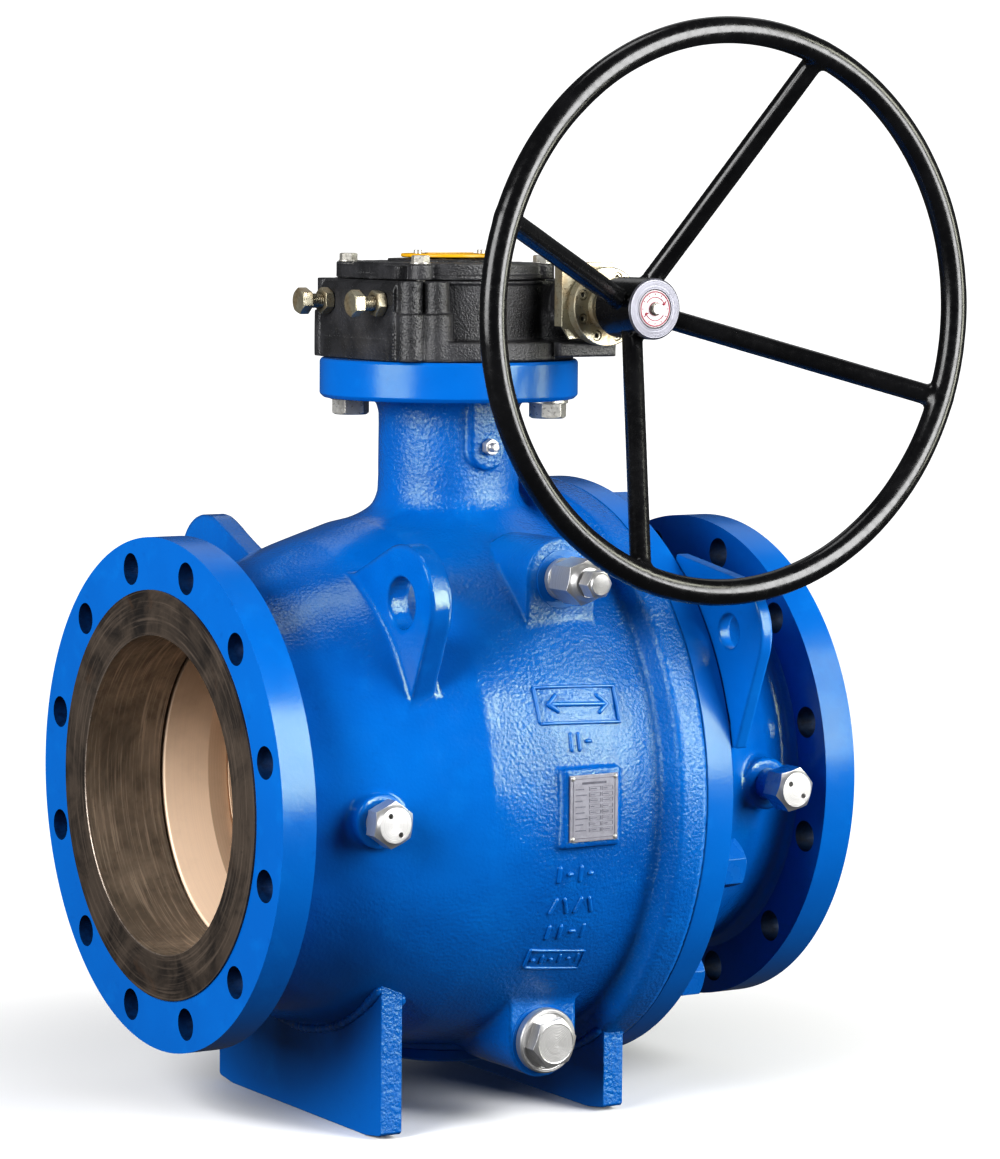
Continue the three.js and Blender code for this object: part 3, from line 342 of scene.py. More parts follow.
FINISHES = {
    "shell": ("blue_enamel", enamel("blue_enamel_cast", pebble=1.0, rough=0.11,
                                    sand_cast=True)),
    "closure": ("blue_enamel", enamel("blue_enamel_cast_closure", pebble=0.3, rough=0.15)),
    "smooth": ("blue_enamel", enamel("blue_enamel_smooth", pebble=0.07, rough=0.24)),
    "edge": ("blue_enamel", enamel("blue_enamel_cut_edge", pebble=0.9, rough=0.26,
                                   wrinkle=0.9)),
    "nut": ("blue_enamel", enamel("blue_enamel_fastener", pebble=0.14, rough=0.25)),
    "face": ("machined_steel", soiled(
        "raised_face_steel", base=(0.066, 0.051, 0.040), dark=(0.010, 0.008, 0.007),
        rust=(0.075, 0.042, 0.024), rough=0.42, metal=0.25, face=True)),
    "bore": ("machined_steel", soiled(
        "bore_steel", base=(0.235, 0.187, 0.141), dark=(0.076, 0.061, 0.046),
        rust=(0.13, 0.08, 0.045), rough=0.38, metal=0.3)),
    "lip": ("machined_steel", plated("bore_lip_steel", (0.26, 0.22, 0.19), (0.12, 0.09, 0.07),
                                     rough=0.35, metal=0.7)),
    "inner": ("machined_steel", soiled(
        "pocket_steel", base=(0.20, 0.17, 0.14), dark=(0.06, 0.05, 0.045),
        rust=(0.10, 0.06, 0.04), rough=0.42, metal=0.5)),
    "seat": ("machined_steel", turned(
        "seat_ring_steel", (0.95, 0.73, 0.54), rough=0.42, rings=1500, ring_depth=0.0,
        dirt=0.12, dirt_color=(0.50, 0.36, 0.25), scratch=0.08, alt=(0.90, 0.69, 0.52),
        metal=0.12, darkening=SEAT_TOP_SHADE)),
    "ball": ("ball_plating", turned(
        "ball_plating", (0.62, 0.46, 0.33), rough=0.34, rings=700, ring_depth=0.0,
        dirt=0.14, dirt_color=(0.30, 0.20, 0.13), scratch=0.08, alt=(0.56, 0.41, 0.29),
        metal=0.25)),
    "stainless": ("stainless_fitting", turned(
        "stainless_turned", (0.56, 0.555, 0.55), rough=0.36, rings=5200, ring_depth=0.22,
        dirt=0.10, dirt_color=(0.10, 0.09, 0.075), alt=(0.47, 0.465, 0.46), metal=0.82)),
    "steel": ("machined_steel", turned("machined_steel", (0.42, 0.40, 0.37), rough=0.3,
                                       rings=2400, ring_depth=0.3)),
    "bronze": ("bronze", turned("bronze", (0.62, 0.40, 0.17), rough=0.32, rings=2200,
                                ring_depth=0.25, dirt=0.25, dirt_color=(0.12, 0.07, 0.03))),
    "zinc": ("yellow_zinc", plated("yellow_zinc", (0.37, 0.345, 0.26), (0.33, 0.235, 0.125),
                                   rough=0.34, metal=0.8, tint=0.6)),
    "bright": ("bright_zinc", plated("bright_zinc", (0.52, 0.51, 0.48), (0.36, 0.34, 0.29),
                                     rough=0.34, metal=0.7, tint=0.6)),
    "plate": ("plate_steel", plated("plate_steel", (0.215, 0.215, 0.245), (0.15, 0.15, 0.172),
                                    rough=0.40, metal=0.6, bump=0.08, scale=140)),
    "spring": ("spring_steel", plated("spring_steel", (0.34, 0.35, 0.37), (0.22, 0.22, 0.24),
                                      rough=0.35, metal=1.0)),
    "iron": ("black_cast_iron", cast_iron("black_cast_iron")),
    "gloss": ("gloss_black", gloss_black("gloss_black")),
    "ptfe": ("seat_polymer", soft("seat_polymer", (0.72, 0.69, 0.60), (0.60, 0.56, 0.47),
                                  rough=0.5)),
    "rubber": ("seal_rubber", soft("seal_rubber", (0.012, 0.012, 0.012), (0.03, 0.03, 0.03),
                                   rough=0.6, scale=160, bump=0.25)),
    "yellow": ("indicator_yellow", soft("indicator_yellow", (0.60, 0.33, 0.006),
                                        (0.54, 0.28, 0.004), rough=0.4, scale=60, bump=0.05)),
    "label": ("plate_steel", soft("label_white", (0.50, 0.46, 0.48), (0.43, 0.39, 0.41),
                                  rough=0.4, scale=200, bump=0.04)),
    "red": ("plate_steel", soft("label_red", (0.30, 0.02, 0.045), (0.22, 0.015, 0.03),
                                rough=0.4, scale=200, bump=0.04)),
    "ink": ("plate_steel", soft("plate_ink", (0.05, 0.05, 0.07), (0.10, 0.10, 0.13),
                                rough=0.45, scale=200, bump=0.04)),
    "hubface": ("gloss_black", turned(
        "hub_face_steel", (0.135, 0.135, 0.155), rough=0.36, rings=5200, ring_depth=0.25,
        dirt=0.22, dirt_color=(0.04, 0.04, 0.045), scratch=0.4, alt=(0.10, 0.10, 0.12),
        metal=0.6)),
    # painted shade: near-black navy for the walls of the bolt holes, which lie in shade
    "hole": ("blue_enamel", soft("bolt_hole_painted_shade", (0.0006, 0.022, 0.082),
                                 (0.0004, 0.011, 0.046), rough=0.6, scale=160, spec=0.18)),
    # painted shade: near black for the floors of hexagon sockets
    "socket": ("yellow_zinc", soft("socket_floor_painted_shade", (0.02, 0.02, 0.018), (0.045, 0.04, 0.035),
                                   rough=0.5, scale=200, bump=0.1)),
}

# ---------------------------------------------------------------- mesh tools
# a piece's own x, y and z for each frame axis it can be turned about
AXES = {"x": np.array([[0, 1, 0], [0, 0, 1], [1, 0, 0]]),
        "y": np.array([[0, 0, 1], [1, 0, 0], [0, 1, 0]]),
        "z": np.array([[1, 0, 0], [0, 1, 0], [0, 0, 1]])}
BOX_FACES = [(0, 1, 3, 2), (4, 6, 7, 5), (0, 4, 5, 1), (2, 3, 7, 6), (0, 2, 6, 4), (1, 5, 7, 3)]


def box_corners(low, high):
    return [(x, y, z) for x in (low[0], high[0]) for y in (low[1], high[1])
            for z in (low[2], high[2])]


def polar(radius, degrees):
    return radius * math.cos(rad(degrees)), radius * math.sin(rad(degrees))


def ring_angles(count):
    return np.arange(count) * 2 * math.pi / count


def piece_matrix(axis, at, turn):
    """Takes a piece's own z to a frame axis through a point, turned about it (radians)."""
    side, up, along = AXES[axis]
    cos, sin = math.cos(turn), math.sin(turn)
    matrix = np.eye(4)
    matrix[:3, :3] = np.stack([cos * side + sin * up, -sin * side + cos * up, along], 1)
    matrix[:3, 3] = (np.array(at, float) + ORIGIN) / 1000
    return Matrix(matrix.tolist())


def mesh_object(name, verts, faces, mats, index=None, matrix=None, body="valve_body",
                replaces=None, normals=None):
    """Without a matrix, verts are in the ball-centred frame and the object stays at zero."""
    verts = np.asarray(verts, float)
    verts = (verts + ORIGIN) / 1000 if matrix is None else verts / 1000
    mesh = bpy.data.meshes.new(name)
    if isinstance(faces, np.ndarray):
        count, sides = faces.shape
        mesh.vertices.add(len(verts))
        mesh.vertices.foreach_set("co", verts.astype(np.float32).ravel())
        mesh.loops.add(count * sides)
        mesh.loops.foreach_set("vertex_index", faces.astype(np.int32).ravel())
        mesh.polygons.add(count)
        mesh.polygons.foreach_set("loop_start",
                                  np.arange(0, count * sides, sides, dtype=np.int32))
        mesh.update(calc_edges=True)
    else:
        mesh.from_pydata(verts.tolist(), [], faces)
    mesh.validate()
    for key in mats:
        mesh.materials.append(FINISHES[key][1])
    if index is not None:
        mesh.polygons.foreach_set("material_index", np.asarray(index, np.int32))
    mesh.polygons.foreach_set("use_smooth", np.ones(len(mesh.polygons), bool))
    if normals is not None:
        mesh.normals_split_custom_set_from_vertices([tuple(n) for n in normals])
    mesh.update()
    piece = bpy.data.objects.new(name, mesh)
    scene.collection.objects.link(piece)
    if matrix is not None:
        piece.matrix_world = matrix
    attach(piece, body)
    if replaces:
        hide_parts(replaces)
    return piece


def face_outward(mesh):
    work = bmesh.new()
    work.from_mesh(mesh)
    bmesh.ops.recalc_face_normals(work, faces=work.faces)
    work.to_mesh(mesh)
    work.free()


def solid(name, verts, faces, mats, **options):
    piece = mesh_object(name, verts, faces, mats, **options)
    face_outward(piece.data)
    return piece


def bake(piece, bevel, segments=2, cutters=()):
    """Cuts, rounds the edges, hardens the flat faces, and bakes the result into the mesh."""
    for cutter in cutters:
        cut = piece.modifiers.new("cut", "BOOLEAN")
        cut.operation = "DIFFERENCE"
        cut.solver = "EXACT"
        cut.object = cutter
    if bevel:
        edge = piece.modifiers.new("bevel", "BEVEL")
        edge.width = bevel / 1000
        edge.segments = segments
        edge.limit_method = "ANGLE"
        edge.angle_limit = rad(32)
        edge.use_clamp_overlap = True
        edge.miter_outer = "MITER_ARC"
        edge.loop_slide = True
    flat = piece.modifiers.new("flat", "WEIGHTED_NORMAL")
    flat.keep_sharp = True
    flat.weight = 80
    bpy.context.view_layer.update()
    graph = bpy.context.evaluated_depsgraph_get()
    baked = bpy.data.meshes.new_from_object(piece.evaluated_get(graph),
                                            preserve_all_data_layers=True, depsgraph=graph)
    piece.modifiers.clear()
    piece.data = baked
    for cutter in cutters:
        mesh = cutter.data
        bpy.data.objects.remove(cutter)
        bpy.data.meshes.remove(mesh)
    return piece


def cutter_object(verts, faces):
    mesh = bpy.data.meshes.new("cutter")
    mesh.from_pydata(((np.array(verts, float) + ORIGIN) / 1000).tolist(), [], faces)
    face_outward(mesh)
    cutter = bpy.data.objects.new("cutter", mesh)
    scene.collection.objects.link(cutter)
    return cutter


def box_cutter(low, high):
    return cutter_object(box_corners(low, high), BOX_FACES)


def cylinder_cutter(items, axis, count=32):
    """Separate cylinders in one mesh; items are (centre, radius, low, high) on the axis."""
    verts, faces = [], []
    side, up, along = AXES[axis]
    for centre, radius, low, high in items:
        base = len(verts)
        for level in (low, high):
            for j in range(count):
                angle = 2 * math.pi * j / count
                verts.append(np.array(centre, float) * (1 - along) + along * level
                             + radius * (math.cos(angle) * side + math.sin(angle) * up))
        faces.append(tuple(base + j for j in range(count))[::-1])
        faces.append(tuple(base + count + j for j in range(count)))
        for j in range(count):
            k = (j + 1) % count
            faces.append((base + j, base + k, base + count + k, base + count + j))
    return cutter_object(verts, faces)


def sweep_faces(first, rings, size, closed=False):
    """Faces of a tube whose rings of equal size start at one vertex number."""
    faces = []
    for i in range(rings if closed else rings - 1):
        here, there = first + i * size, first + (i + 1) % rings * size
        for j in range(size):
            k = (j + 1) % size
            faces.append((here + j, here + k, there + k, there + j))
    if not closed:
        last = first + (rings - 1) * size
        faces += [tuple(range(first, first + size))[::-1], tuple(range(last, last + size))]
    return faces


def spin(profile, count, strips=None):
    """Turns (height, radius) entries; either may be an array over the angles.

    A profile that leaves the axis at both ends is closed on itself. strips gives a
    material number for each pair of entries. Returns verts, faces and face materials.
    """
    angles = ring_angles(count)
    verts, rows, faces, index = [], [], [], []
    for height, radius in profile:
        if np.isscalar(radius) and radius == 0:
            rows.append([len(verts)])
            verts.append((0, 0, float(height)))
        else:
            radii = np.broadcast_to(radius, (count,))
            heights = np.broadcast_to(height, (count,))
            rows.append(list(range(len(verts), len(verts) + count)))
            verts += list(zip(radii * np.cos(angles), radii * np.sin(angles), heights))
    closed = len(rows[0]) > 1 and len(rows[-1]) > 1
    for i in range(len(rows) if closed else len(rows) - 1):
        here, there = rows[i], rows[(i + 1) % len(rows)]
        for j in range(count):
            k = (j + 1) % count
            if len(here) == 1:
                faces.append((here[0], there[j], there[k]))
            elif len(there) == 1:
                faces.append((here[j], there[0], here[k]))
            else:
                faces.append((here[j], there[j], there[k], here[k]))
            index.append(strips[i] if strips else 0)
    return verts, faces, index


def lathe(name, profile, mats, axis="z", at=(0, 0, 0), count=96, strips=None, bevel=0.5,
          segments=2, body="valve_body", replaces=None, cutters=(), turn=0.0):
    mats = [mats] if isinstance(mats, str) else mats
    verts, faces, index = spin(profile, count, strips)
    piece = solid(name, verts, faces, mats, index=index, matrix=piece_matrix(axis, at, turn),
                  body=body, replaces=replaces)
    return bake(piece, bevel, segments, cutters)


def mirrored(profile, side):
    return [(side * height, radius) for height, radius in profile]


def hex_radius(flats, angles):
    return flats / 2 / np.cos((angles % (math.pi / 3)) - math.pi / 6)


def hex_head(seat, top, flats, face_r=None, both=False):
    """Profile entries of a hexagon chamfered at its top, or at both ends."""
    face_r = face_r or flats / 2 * 0.955
    up = 1 if top > seat else -1
    radius = hex_radius(flats, ring_angles(HEX_COUNT))
    drop = up * np.maximum(radius - face_r, 0) * math.tan(rad(30))
    lower = [(seat, face_r), (seat + drop, radius)] if both else [(seat, radius)]
    return lower + [(top - drop, radius), (top, face_r)]


def thread_rings(low, high, radius, pitch, depth):
    """Profile entries of ring grooves that look like a thread."""
    count = max(2, int(abs(high - low) / pitch))
    step = (high - low) / count
    entries = []
    for i in range(count):
        entries += [(low + step * i, radius - depth), (low + step * (i + 0.5), radius)]
    return entries + [(high, radius - depth)]


def cap_screw(name, axis, at, seat, top, radius, flats, mat, body="valve_body", count=36):
    """Round head with a hexagon socket."""
    up = 1 if top > seat else -1
    floor = top - up * abs(top - seat) * 0.55
    socket = hex_radius(flats, ring_angles(count))
    profile = [(seat, 0), (seat, radius), (top - up * 0.12 * radius, radius),
               (top, radius * 0.9), (top, socket * 1.12), (top - up * 0.3, socket),
               (floor, socket), (floor, 0)]
    # the floor of the socket takes a painted shade, near black
    lathe(name, profile, [mat, "socket"], axis, at, count, strips=[0, 0, 0, 0, 0, 0, 1],
          bevel=0.12, segments=1, body=body)


def rectangle(low_u, high_u, low_v, high_v):
    return [(low_u, low_v), (high_u, low_v), (high_u, high_v), (low_u, high_v)]


def prism(name, outline, low, high, axis, mat, bevel, body="valve_body", replaces=None,
          edge_mat=None, holes=()):
    """Plate between two levels of an axis; the outline is in the other two axes, in order.

    holes are (u, v, radius).
    """
    level_axis = "xyz".index(axis)
    flat_axes = [k for k in range(3) if k != level_axis]

    def point(level, flat):
        at = np.zeros(3)
        at[level_axis] = level
        at[flat_axes] = flat
        return at

    count = len(outline)
    verts = [point(level, flat) for level in (low, high) for flat in outline]
    faces = [tuple(range(count)), tuple(range(count, 2 * count))[::-1]]
    faces += [(j, count + j, count + (j + 1) % count, (j + 1) % count) for j in range(count)]
    index = [0, 0] + [1 if edge_mat else 0] * count
    piece = solid(name, verts, faces, [mat] + ([edge_mat] if edge_mat else []), index=index,
                  body=body, replaces=replaces)
    cutters = []
    if holes:
        items = [(point(0, (u, v)), radius, low - 5, high + 5) for u, v, radius in holes]
        cutters = [cylinder_cutter(items, axis, 40)]
    bake(piece, bevel, 2, cutters)


# ------------------------------------------------- signed-distance castings
# Fields are millimetres, negative inside the metal.
def join(first, second, blend):
    """Union with a fillet."""
    share = np.clip(0.5 + 0.5 * (second - first) / blend, 0, 1)
    return second + (first - second) * share - blend * share * (1 - share)


def trim(first, second, blend):
    """Intersection with a rounded edge."""
    return -join(-first, -second, blend)


def slab(value, low, high):
    return np.maximum(low - value, value - high)


def rounded_box(x, y, z, low, high, radius):
    gaps = [np.abs(v - (a + b) / 2) - (b - a) / 2 + radius
            for v, a, b in zip((x, y, z), low, high)]
    outside = np.sqrt(sum(np.maximum(gap, 0) ** 2 for gap in gaps))
    inside = np.minimum(np.maximum(np.maximum(gaps[0], gaps[1]), gaps[2]), 0)
    return outside + inside - radius


def cylinder(across, up, along, centre, radius, low, high, blend):
    """The first two arguments are measured across the axis, the third along it."""
    distance = np.hypot(across - centre[0], up - centre[1])
    return trim(distance - radius, slab(along, low, high), blend)


def polygon_distance(points, x, y):
    nearest = np.full(x.shape, 1e18)
    sign = np.ones(x.shape)
    for i in range(len(points)):
        start, end = points[i], points[i - 1]
        edge = end - start
        dx, dy = x - start[0], y - start[1]
        share = np.clip((dx * edge[0] + dy * edge[1]) / max(edge @ edge, 1e-12), 0, 1)
        nearest = np.minimum(nearest, (dx - edge[0] * share) ** 2 + (dy - edge[1] * share) ** 2)
        above = y >= start[1]
        below = y < end[1]
        left = edge[0] * dy > edge[1] * dx
        sign = np.where((above & below & left) | (~above & ~below & ~left), -sign, sign)
    return sign * np.sqrt(nearest)


class Outline:
    """Distance to a flat outline, tabulated once and looked up; blur rounds its corners."""

    def __init__(self, points, step, pad, blur=0.0):
        points = np.array(points, float)
        self.step = step
        self.low = points.min(0) - pad
        self.size = np.ceil((points.max(0) + pad - self.low) / step).astype(int) + 1
        grid = np.meshgrid(*[self.low[a] + np.arange(self.size[a]) * step for a in range(2)],
                           indexing="ij")
        table = polygon_distance(points, *grid)
        if blur:
            sigma = blur / step
            offsets = np.arange(-int(3 * sigma) - 1, int(3 * sigma) + 2)
            weights = np.exp(-0.5 * (offsets / sigma) ** 2)
            weights /= weights.sum()
            half = len(offsets) // 2
            for _ in range(2):
                # blur down the columns, then turn the table for the other direction
                padded = np.pad(table, ((half, half), (0, 0)), "edge")
                rows = len(table)
                table = sum(weight * padded[i:i + rows] for i, weight in enumerate(weights)).T
        self.table = table.astype(np.float32)

    def __call__(self, u, v):
        col, row = (u - self.low[0]) / self.step, (v - self.low[1]) / self.step
        near_col = np.clip(col, 0, self.size[0] - 1.001)
        near_row = np.clip(row, 0, self.size[1] - 1.001)
        i, j = near_col.astype(np.int32), near_row.astype(np.int32)
        part_i, part_j = near_col - i, near_row - j
        table = self.table
        inside = ((table[i, j] * (1 - part_i) + table[i + 1, j] * part_i) * (1 - part_j)
                  + (table[i, j + 1] * (1 - part_i) + table[i + 1, j + 1] * part_i) * part_j)
        return inside + np.hypot(col - near_col, row - near_row) * self.step


LATTICE = np.random.default_rng(11).random((32, 32, 32)).astype(np.float32)


def lumps(x, y, z, shift, size):
    """Smooth noise from -1 to 1; the shift picks a part of the lattice."""
    cells, eased = [], []
    for value in (x, y, z):
        value = (value + shift) / size
        cell = np.floor(value).astype(np.int32)
        part = value - cell
        cells.append(cell)
        eased.append(part * part * (3 - 2 * part))

    def corner(i, j, k):
        return LATTICE[(cells[0] + i) & 31, (cells[1] + j) & 31, (cells[2] + k) & 31]

    total = 0
    for i, weight_x in ((0, 1 - eased[0]), (1, eased[0])):
        for j, weight_y in ((0, 1 - eased[1]), (1, eased[1])):
            total = total + weight_x * weight_y * (
                corner(i, j, 0) * (1 - eased[2]) + corner(i, j, 1) * eased[2])
    return total * 2 - 1


TETRAHEDRON = np.array([[1, -1, -1], [-1, -1, 1], [-1, 1, -1], [1, 1, 1]], float)


def dual_contour(field, low, high, step, block=8, batch=1200):
    """Meshes field < 0 and keeps its edges crisp. Returns vertices, quads and normals."""
    low = np.array(low, float)
    size = np.ceil((np.array(high, float) - low) / step / block).astype(int) * block
    blocks = size // block
    # sample block centres first, then fill in only the blocks near the surface
    centres = np.meshgrid(*[low[a] + (np.arange(blocks[a]) * block + (block - 1) / 2) * step
                            for a in range(3)], indexing="ij")
    coarse = field(*[c.ravel() for c in centres])
    grid = np.where(coarse < 0, -1e3, 1e3).astype(np.float32).reshape(blocks)
    for axis in range(3):
        grid = np.repeat(grid, block, axis)
    near = np.argwhere((np.abs(coarse) < 0.95 * block * step + 2 * step).reshape(blocks))
    offset = np.arange(block)
    for start in range(0, len(near), batch):
        corner = near[start:start + batch] * block
        spans = [corner[:, a, None] + offset for a in range(3)]
        index = np.broadcast_arrays(spans[0][:, :, None, None], spans[1][:, None, :, None],
                                    spans[2][:, None, None, :])
        points = [(low[a] + index[a] * step).ravel() for a in range(3)]
        grid[tuple(index)] = field(*points).reshape(index[0].shape)

    def gradient(points, reach):
        slope = np.zeros_like(points)
        for tip in TETRAHEDRON:
            slope += tip * field(*[points[:, a] + tip[a] * reach for a in range(3)])[:, None]
        return slope / np.maximum(np.linalg.norm(slope, axis=1), 1e-12)[:, None]

    def cell_number(cells):
        return (cells[:, 0] * size[1] + cells[:, 1]) * size[2] + cells[:, 2]

    points, quads = [], []
    units = np.eye(3, dtype=int)
    for axis in range(3):
        # every grid edge that crosses the surface gives one quad
        here = np.argwhere(np.diff(grid < 0, axis=axis))
        u, v = (axis + 1) % 3, (axis + 2) % 3
        here = here[(here[:, u] > 0) & (here[:, v] > 0)
                    & (here[:, u] < size[u] - 1) & (here[:, v] < size[v] - 1)]
        there = here + units[axis]
        value = grid[tuple(here.T)].astype(float)
        beyond = grid[tuple(there.T)].astype(float)
        share = (value / (value - beyond))[:, None]
        points.append(low + (here + share * np.eye(3)[axis]) * step)
        quad = np.stack([cell_number(here), cell_number(here - units[u]),
                         cell_number(here - units[u] - units[v]),
                         cell_number(here - units[v])], 1)
        quad[value >= 0] = quad[value >= 0][:, ::-1]
        quads.append(quad)
    points, quads = np.concatenate(points), np.concatenate(quads)
    normals = gradient(points, 0.12 * step)
    cells, faces = np.unique(quads, return_inverse=True)
    faces = faces.reshape(quads.shape)
    count = len(cells)

    def gather(weights):
        return sum(np.bincount(faces[:, c], weights=weights, minlength=count)
                   for c in range(4))

    # each vertex goes to the point that best fits the tangent planes round its cell
    hits = gather(np.ones(len(points)))
    mean = np.stack([gather(points[:, a]) for a in range(3)], 1) / hits[:, None]
    system, target = np.zeros((count, 3, 3)), np.zeros((count, 3))
    plane = (normals * points).sum(1)
    for i in range(3):
        for j in range(i, 3):
            system[:, i, j] = system[:, j, i] = gather(normals[:, i] * normals[:, j])
        target[:, i] = gather(normals[:, i] * plane)
    target -= np.einsum("nij,nj->ni", system, mean)
    system += np.eye(3) * 0.06 * hits[:, None, None]
    move = np.linalg.solve(system, target[:, :, None])[:, :, 0]
    verts = mean + np.clip(move, -0.9 * step, 0.9 * step)
    return verts, faces, gradient(verts, 0.45 * step)


def cast(name, field, low, high, step, mats, replaces=None, body="valve_body", lined=None):
    """Meshes a field; faces whose vertices are all lined take the second material."""
    verts, faces, normals = dual_contour(field, low, high, step * VOXEL_SCALE)
    index = lined(verts)[faces].all(1).astype(int) if lined else None
    mesh_object(name, verts, faces, mats, index=index, body=body, replaces=replaces,
                normals=normals)


def pad_outline(level, radius, far, flip=1, count=28):
    """Half circle with straight sides running to a far level."""
    arc = [(radius * math.cos(math.pi * i / count),
            level + flip * radius * math.sin(math.pi * i / count)) for i in range(count + 1)]
    return arc + [(-radius, far), (radius, far)]


def lug_outline(degrees, hole_r, tip_r, root_r, half_angle, deep=34, count=28):
    """Lug in y, z: a round tip about a hole, with tangents down to a root circle."""
    centre = np.array(polar(hole_r, degrees))

    def root(radius, offset):
        angle = rad(degrees) + rad(offset)
        return np.array([radius * math.cos(angle), radius * math.sin(angle)])

    def tangent_angle(start, side):
        across = centre - start
        distance = np.linalg.norm(across)
        angle = math.atan2(across[1], across[0]) + side * math.asin(tip_r / distance)
        length = math.sqrt(distance * distance - tip_r * tip_r)
        touch = start + length * np.array([math.cos(angle), math.sin(angle)]) - centre
        return math.atan2(touch[1], touch[0])

    foot_a, foot_b = root(root_r, -half_angle), root(root_r, half_angle)
    first, last = tangent_angle(foot_a, -1), tangent_angle(foot_b, 1)
    while last < first:
        last += 2 * math.pi
    tip = [centre + tip_r * np.array([math.cos(q), math.sin(q)])
           for q in np.linspace(first, last, count)]
    inset = half_angle - 4
    points = [root(root_r - deep, -inset), foot_a, *tip, foot_b, root(root_r - deep, inset)]
    return points, centre


# ---------------------------------------------------------------- body casting
# (x, radius about the bore)
BODY_OUTER = Outline([
    (-245, -60), (-245, 174), (-236.3, 174), (-233, 169.5), (-228, 167.2), (-222, 167),
    (-180, 181), (-135, 196), (-85, 211), (-30, 220.5), (4, 223.0), (20, 223.0),
    (40, 220.8), (56, 218.9), (61.5, 218.9), (64.2, 222), (66, 230), (67.4, 237),
    (70.5, 240.3), (76, 241), (110, 241), (110, -60)], step=0.6, pad=40, blur=0.9)
BODY_CAVITY = Outline([
    (120, -60), (120, 196.4), (-52, 196.4), (-100, 178), (-104, 161), (-171.5, 161),
    (-171.5, 151), (-260, 151), (-260, -60)], step=0.6, pad=40)
# (z, radius about the stem)
NECK = Outline([
    (130, -40), (130, 74), (200, 74), (209, 68), (219, 61.5), (232, 57.6), (245, 57),
    (296, 57), (303, 59), (308.5, 65), (316, 65), (316, -40)], step=0.5, pad=40, blur=1.0)
# (x, z) of the pads on the -y side
BLEED_PAD = Outline(pad_outline(BLEED_AT[2], 31.5, 130), step=0.4, pad=20, blur=0.4)
DRAIN_PAD = Outline(pad_outline(DRAIN_AT[2], 30.5, -140, -1), step=0.4, pad=20, blur=0.4)
NECK_PAD = Outline(pad_outline(268.5, 16, 312, -1), step=0.4, pad=20, blur=0.4)
BODY_LUGS = []
for degrees in (45, 135):
    points, centre = lug_outline(degrees, hole_r=227, tip_r=45, root_r=188, half_angle=21.5)
    BODY_LUGS.append((Outline(points, step=0.5, pad=25, blur=0.5), centre))
FAR = 400    # pushes a cut out of reach beyond its end


def body_field(x, y, z):
    bore_r, stem_r = np.hypot(y, z), np.hypot(x, y)
    field = join(BODY_OUTER(x, bore_r), NECK(z, stem_r), 14)
    for lug_shape, hole in BODY_LUGS:
        lug = trim(lug_shape(y, z), slab(x, *INLET_PLATE_X), 1.5)
        lug = trim(lug, 20 - np.hypot(y - hole[0], z - hole[1]), 1.6)
        field = join(field, lug, 5)
    field = join(field, trim(BLEED_PAD(x, z), slab(y, -172, -100), 1.1), 2.6)
    field = join(field, trim(DRAIN_PAD(x, z), slab(y, -150, -62), 1.4), 5)
    sealant = (BODY_SEALANT_AT[0], BODY_SEALANT_AT[2])
    field = join(field, cylinder(x, z, y, sealant, 21, -192, -150, 2), 6)
    # block behind the nameplate, then the boss for the bottom cover
    field = join(field, rounded_box(x, y, z, (-30, -226, -30), (22, -190, 32), 2.2), 3)
    field = join(field, cylinder(x, y, z, (0, 0), 62, -218.6, -150, 2), 6)
    field = join(field, trim(NECK_PAD(x, z), slab(y, -62, -40), 1.2), 2.5)
    waves = 0.55 * lumps(x, y, z, 400, 46) + 0.22 * lumps(x, y, z, 300, 15)
    field = field + waves * 0.8
    field = np.maximum(field, -BODY_CAVITY(x, bore_r))
    # stem bore, wider above z 262 for the packing
    field = np.maximum(field, 36.2 - stem_r - (z < 262) * 5.9 - (z < 140) * FAR)
    field = np.maximum(field, 34 - stem_r - (z > -140) * FAR)
    # pocket for the stem collar and its thrust washer
    field = np.maximum(field, -np.maximum(stem_r - 41.6, slab(z, 160, 200.6)))
    return np.maximum(field, x - 93.0)


def body_lined(verts):
    cavity = BODY_CAVITY(verts[:, 0], np.hypot(verts[:, 1], verts[:, 2]))
    return (cavity < 1.2) | (verts[:, 0] > 92.4)


cast("body_shell", body_field, (-250, -250, -240), (100, 250, 322), 2.6, ["shell", "inner"],
     "body_casting", lined=body_lined)


# ---- end flanges: raised face, rim, back and the bore through them
END_FLANGE = [(265.9, BORE_R), (266.5, 126.7), (266.5, 161.9), (264.9, 161.9),
              (264.9, 203.2), (236.3, 203.2), (236.3, 149.6), (198.2, 149.6),
              (198.2, BORE_R)]


def end_flange(name, side):
    holes = [polar(END_BOLT_CIRCLE_R, degrees) for degrees in END_BOLT_ANGLES]
    low, high = sorted((side * 231, side * 290))
    cutter = cylinder_cutter([((0, y, z), END_BOLT_HOLE_R, low, high) for y, z in holes],
                             "x", 40)
    piece = lathe(name, mirrored(END_FLANGE, side),
                  ["smooth", "face", "bore", "inner", "lip", "hole"], "x", count=192,
                  strips=[4, 1, 1, 0, 0, 0, 3, 3, 2], bevel=0.8, cutters=[cutter])
    # the sixth material, a painted shade of near-black navy, goes on the walls of the bolt holes
    polygons = piece.data.polygons
    count = len(polygons)
    centres, normals = np.zeros(count * 3), np.zeros(count * 3)
    polygons.foreach_get("center", centres)
    polygons.foreach_get("normal", normals)
    world = np.array(piece.matrix_world)[:3]
    centres = centres.reshape(-1, 3) @ world[:, :3].T + world[:, 3] - ORIGIN_M
    normals = normals.reshape(-1, 3) @ world[:, :3].T
    index = np.zeros(count, np.int32)
    polygons.foreach_get("material_index", index)
    for y, z in holes:
        distance = np.hypot(centres[:, 1] * 1000 - y, centres[:, 2] * 1000 - z)
        index[(distance < END_BOLT_HOLE_R + 0.35) & (np.abs(normals[:, 0]) < 0.35)] = 5
    polygons.foreach_set("material_index", index)


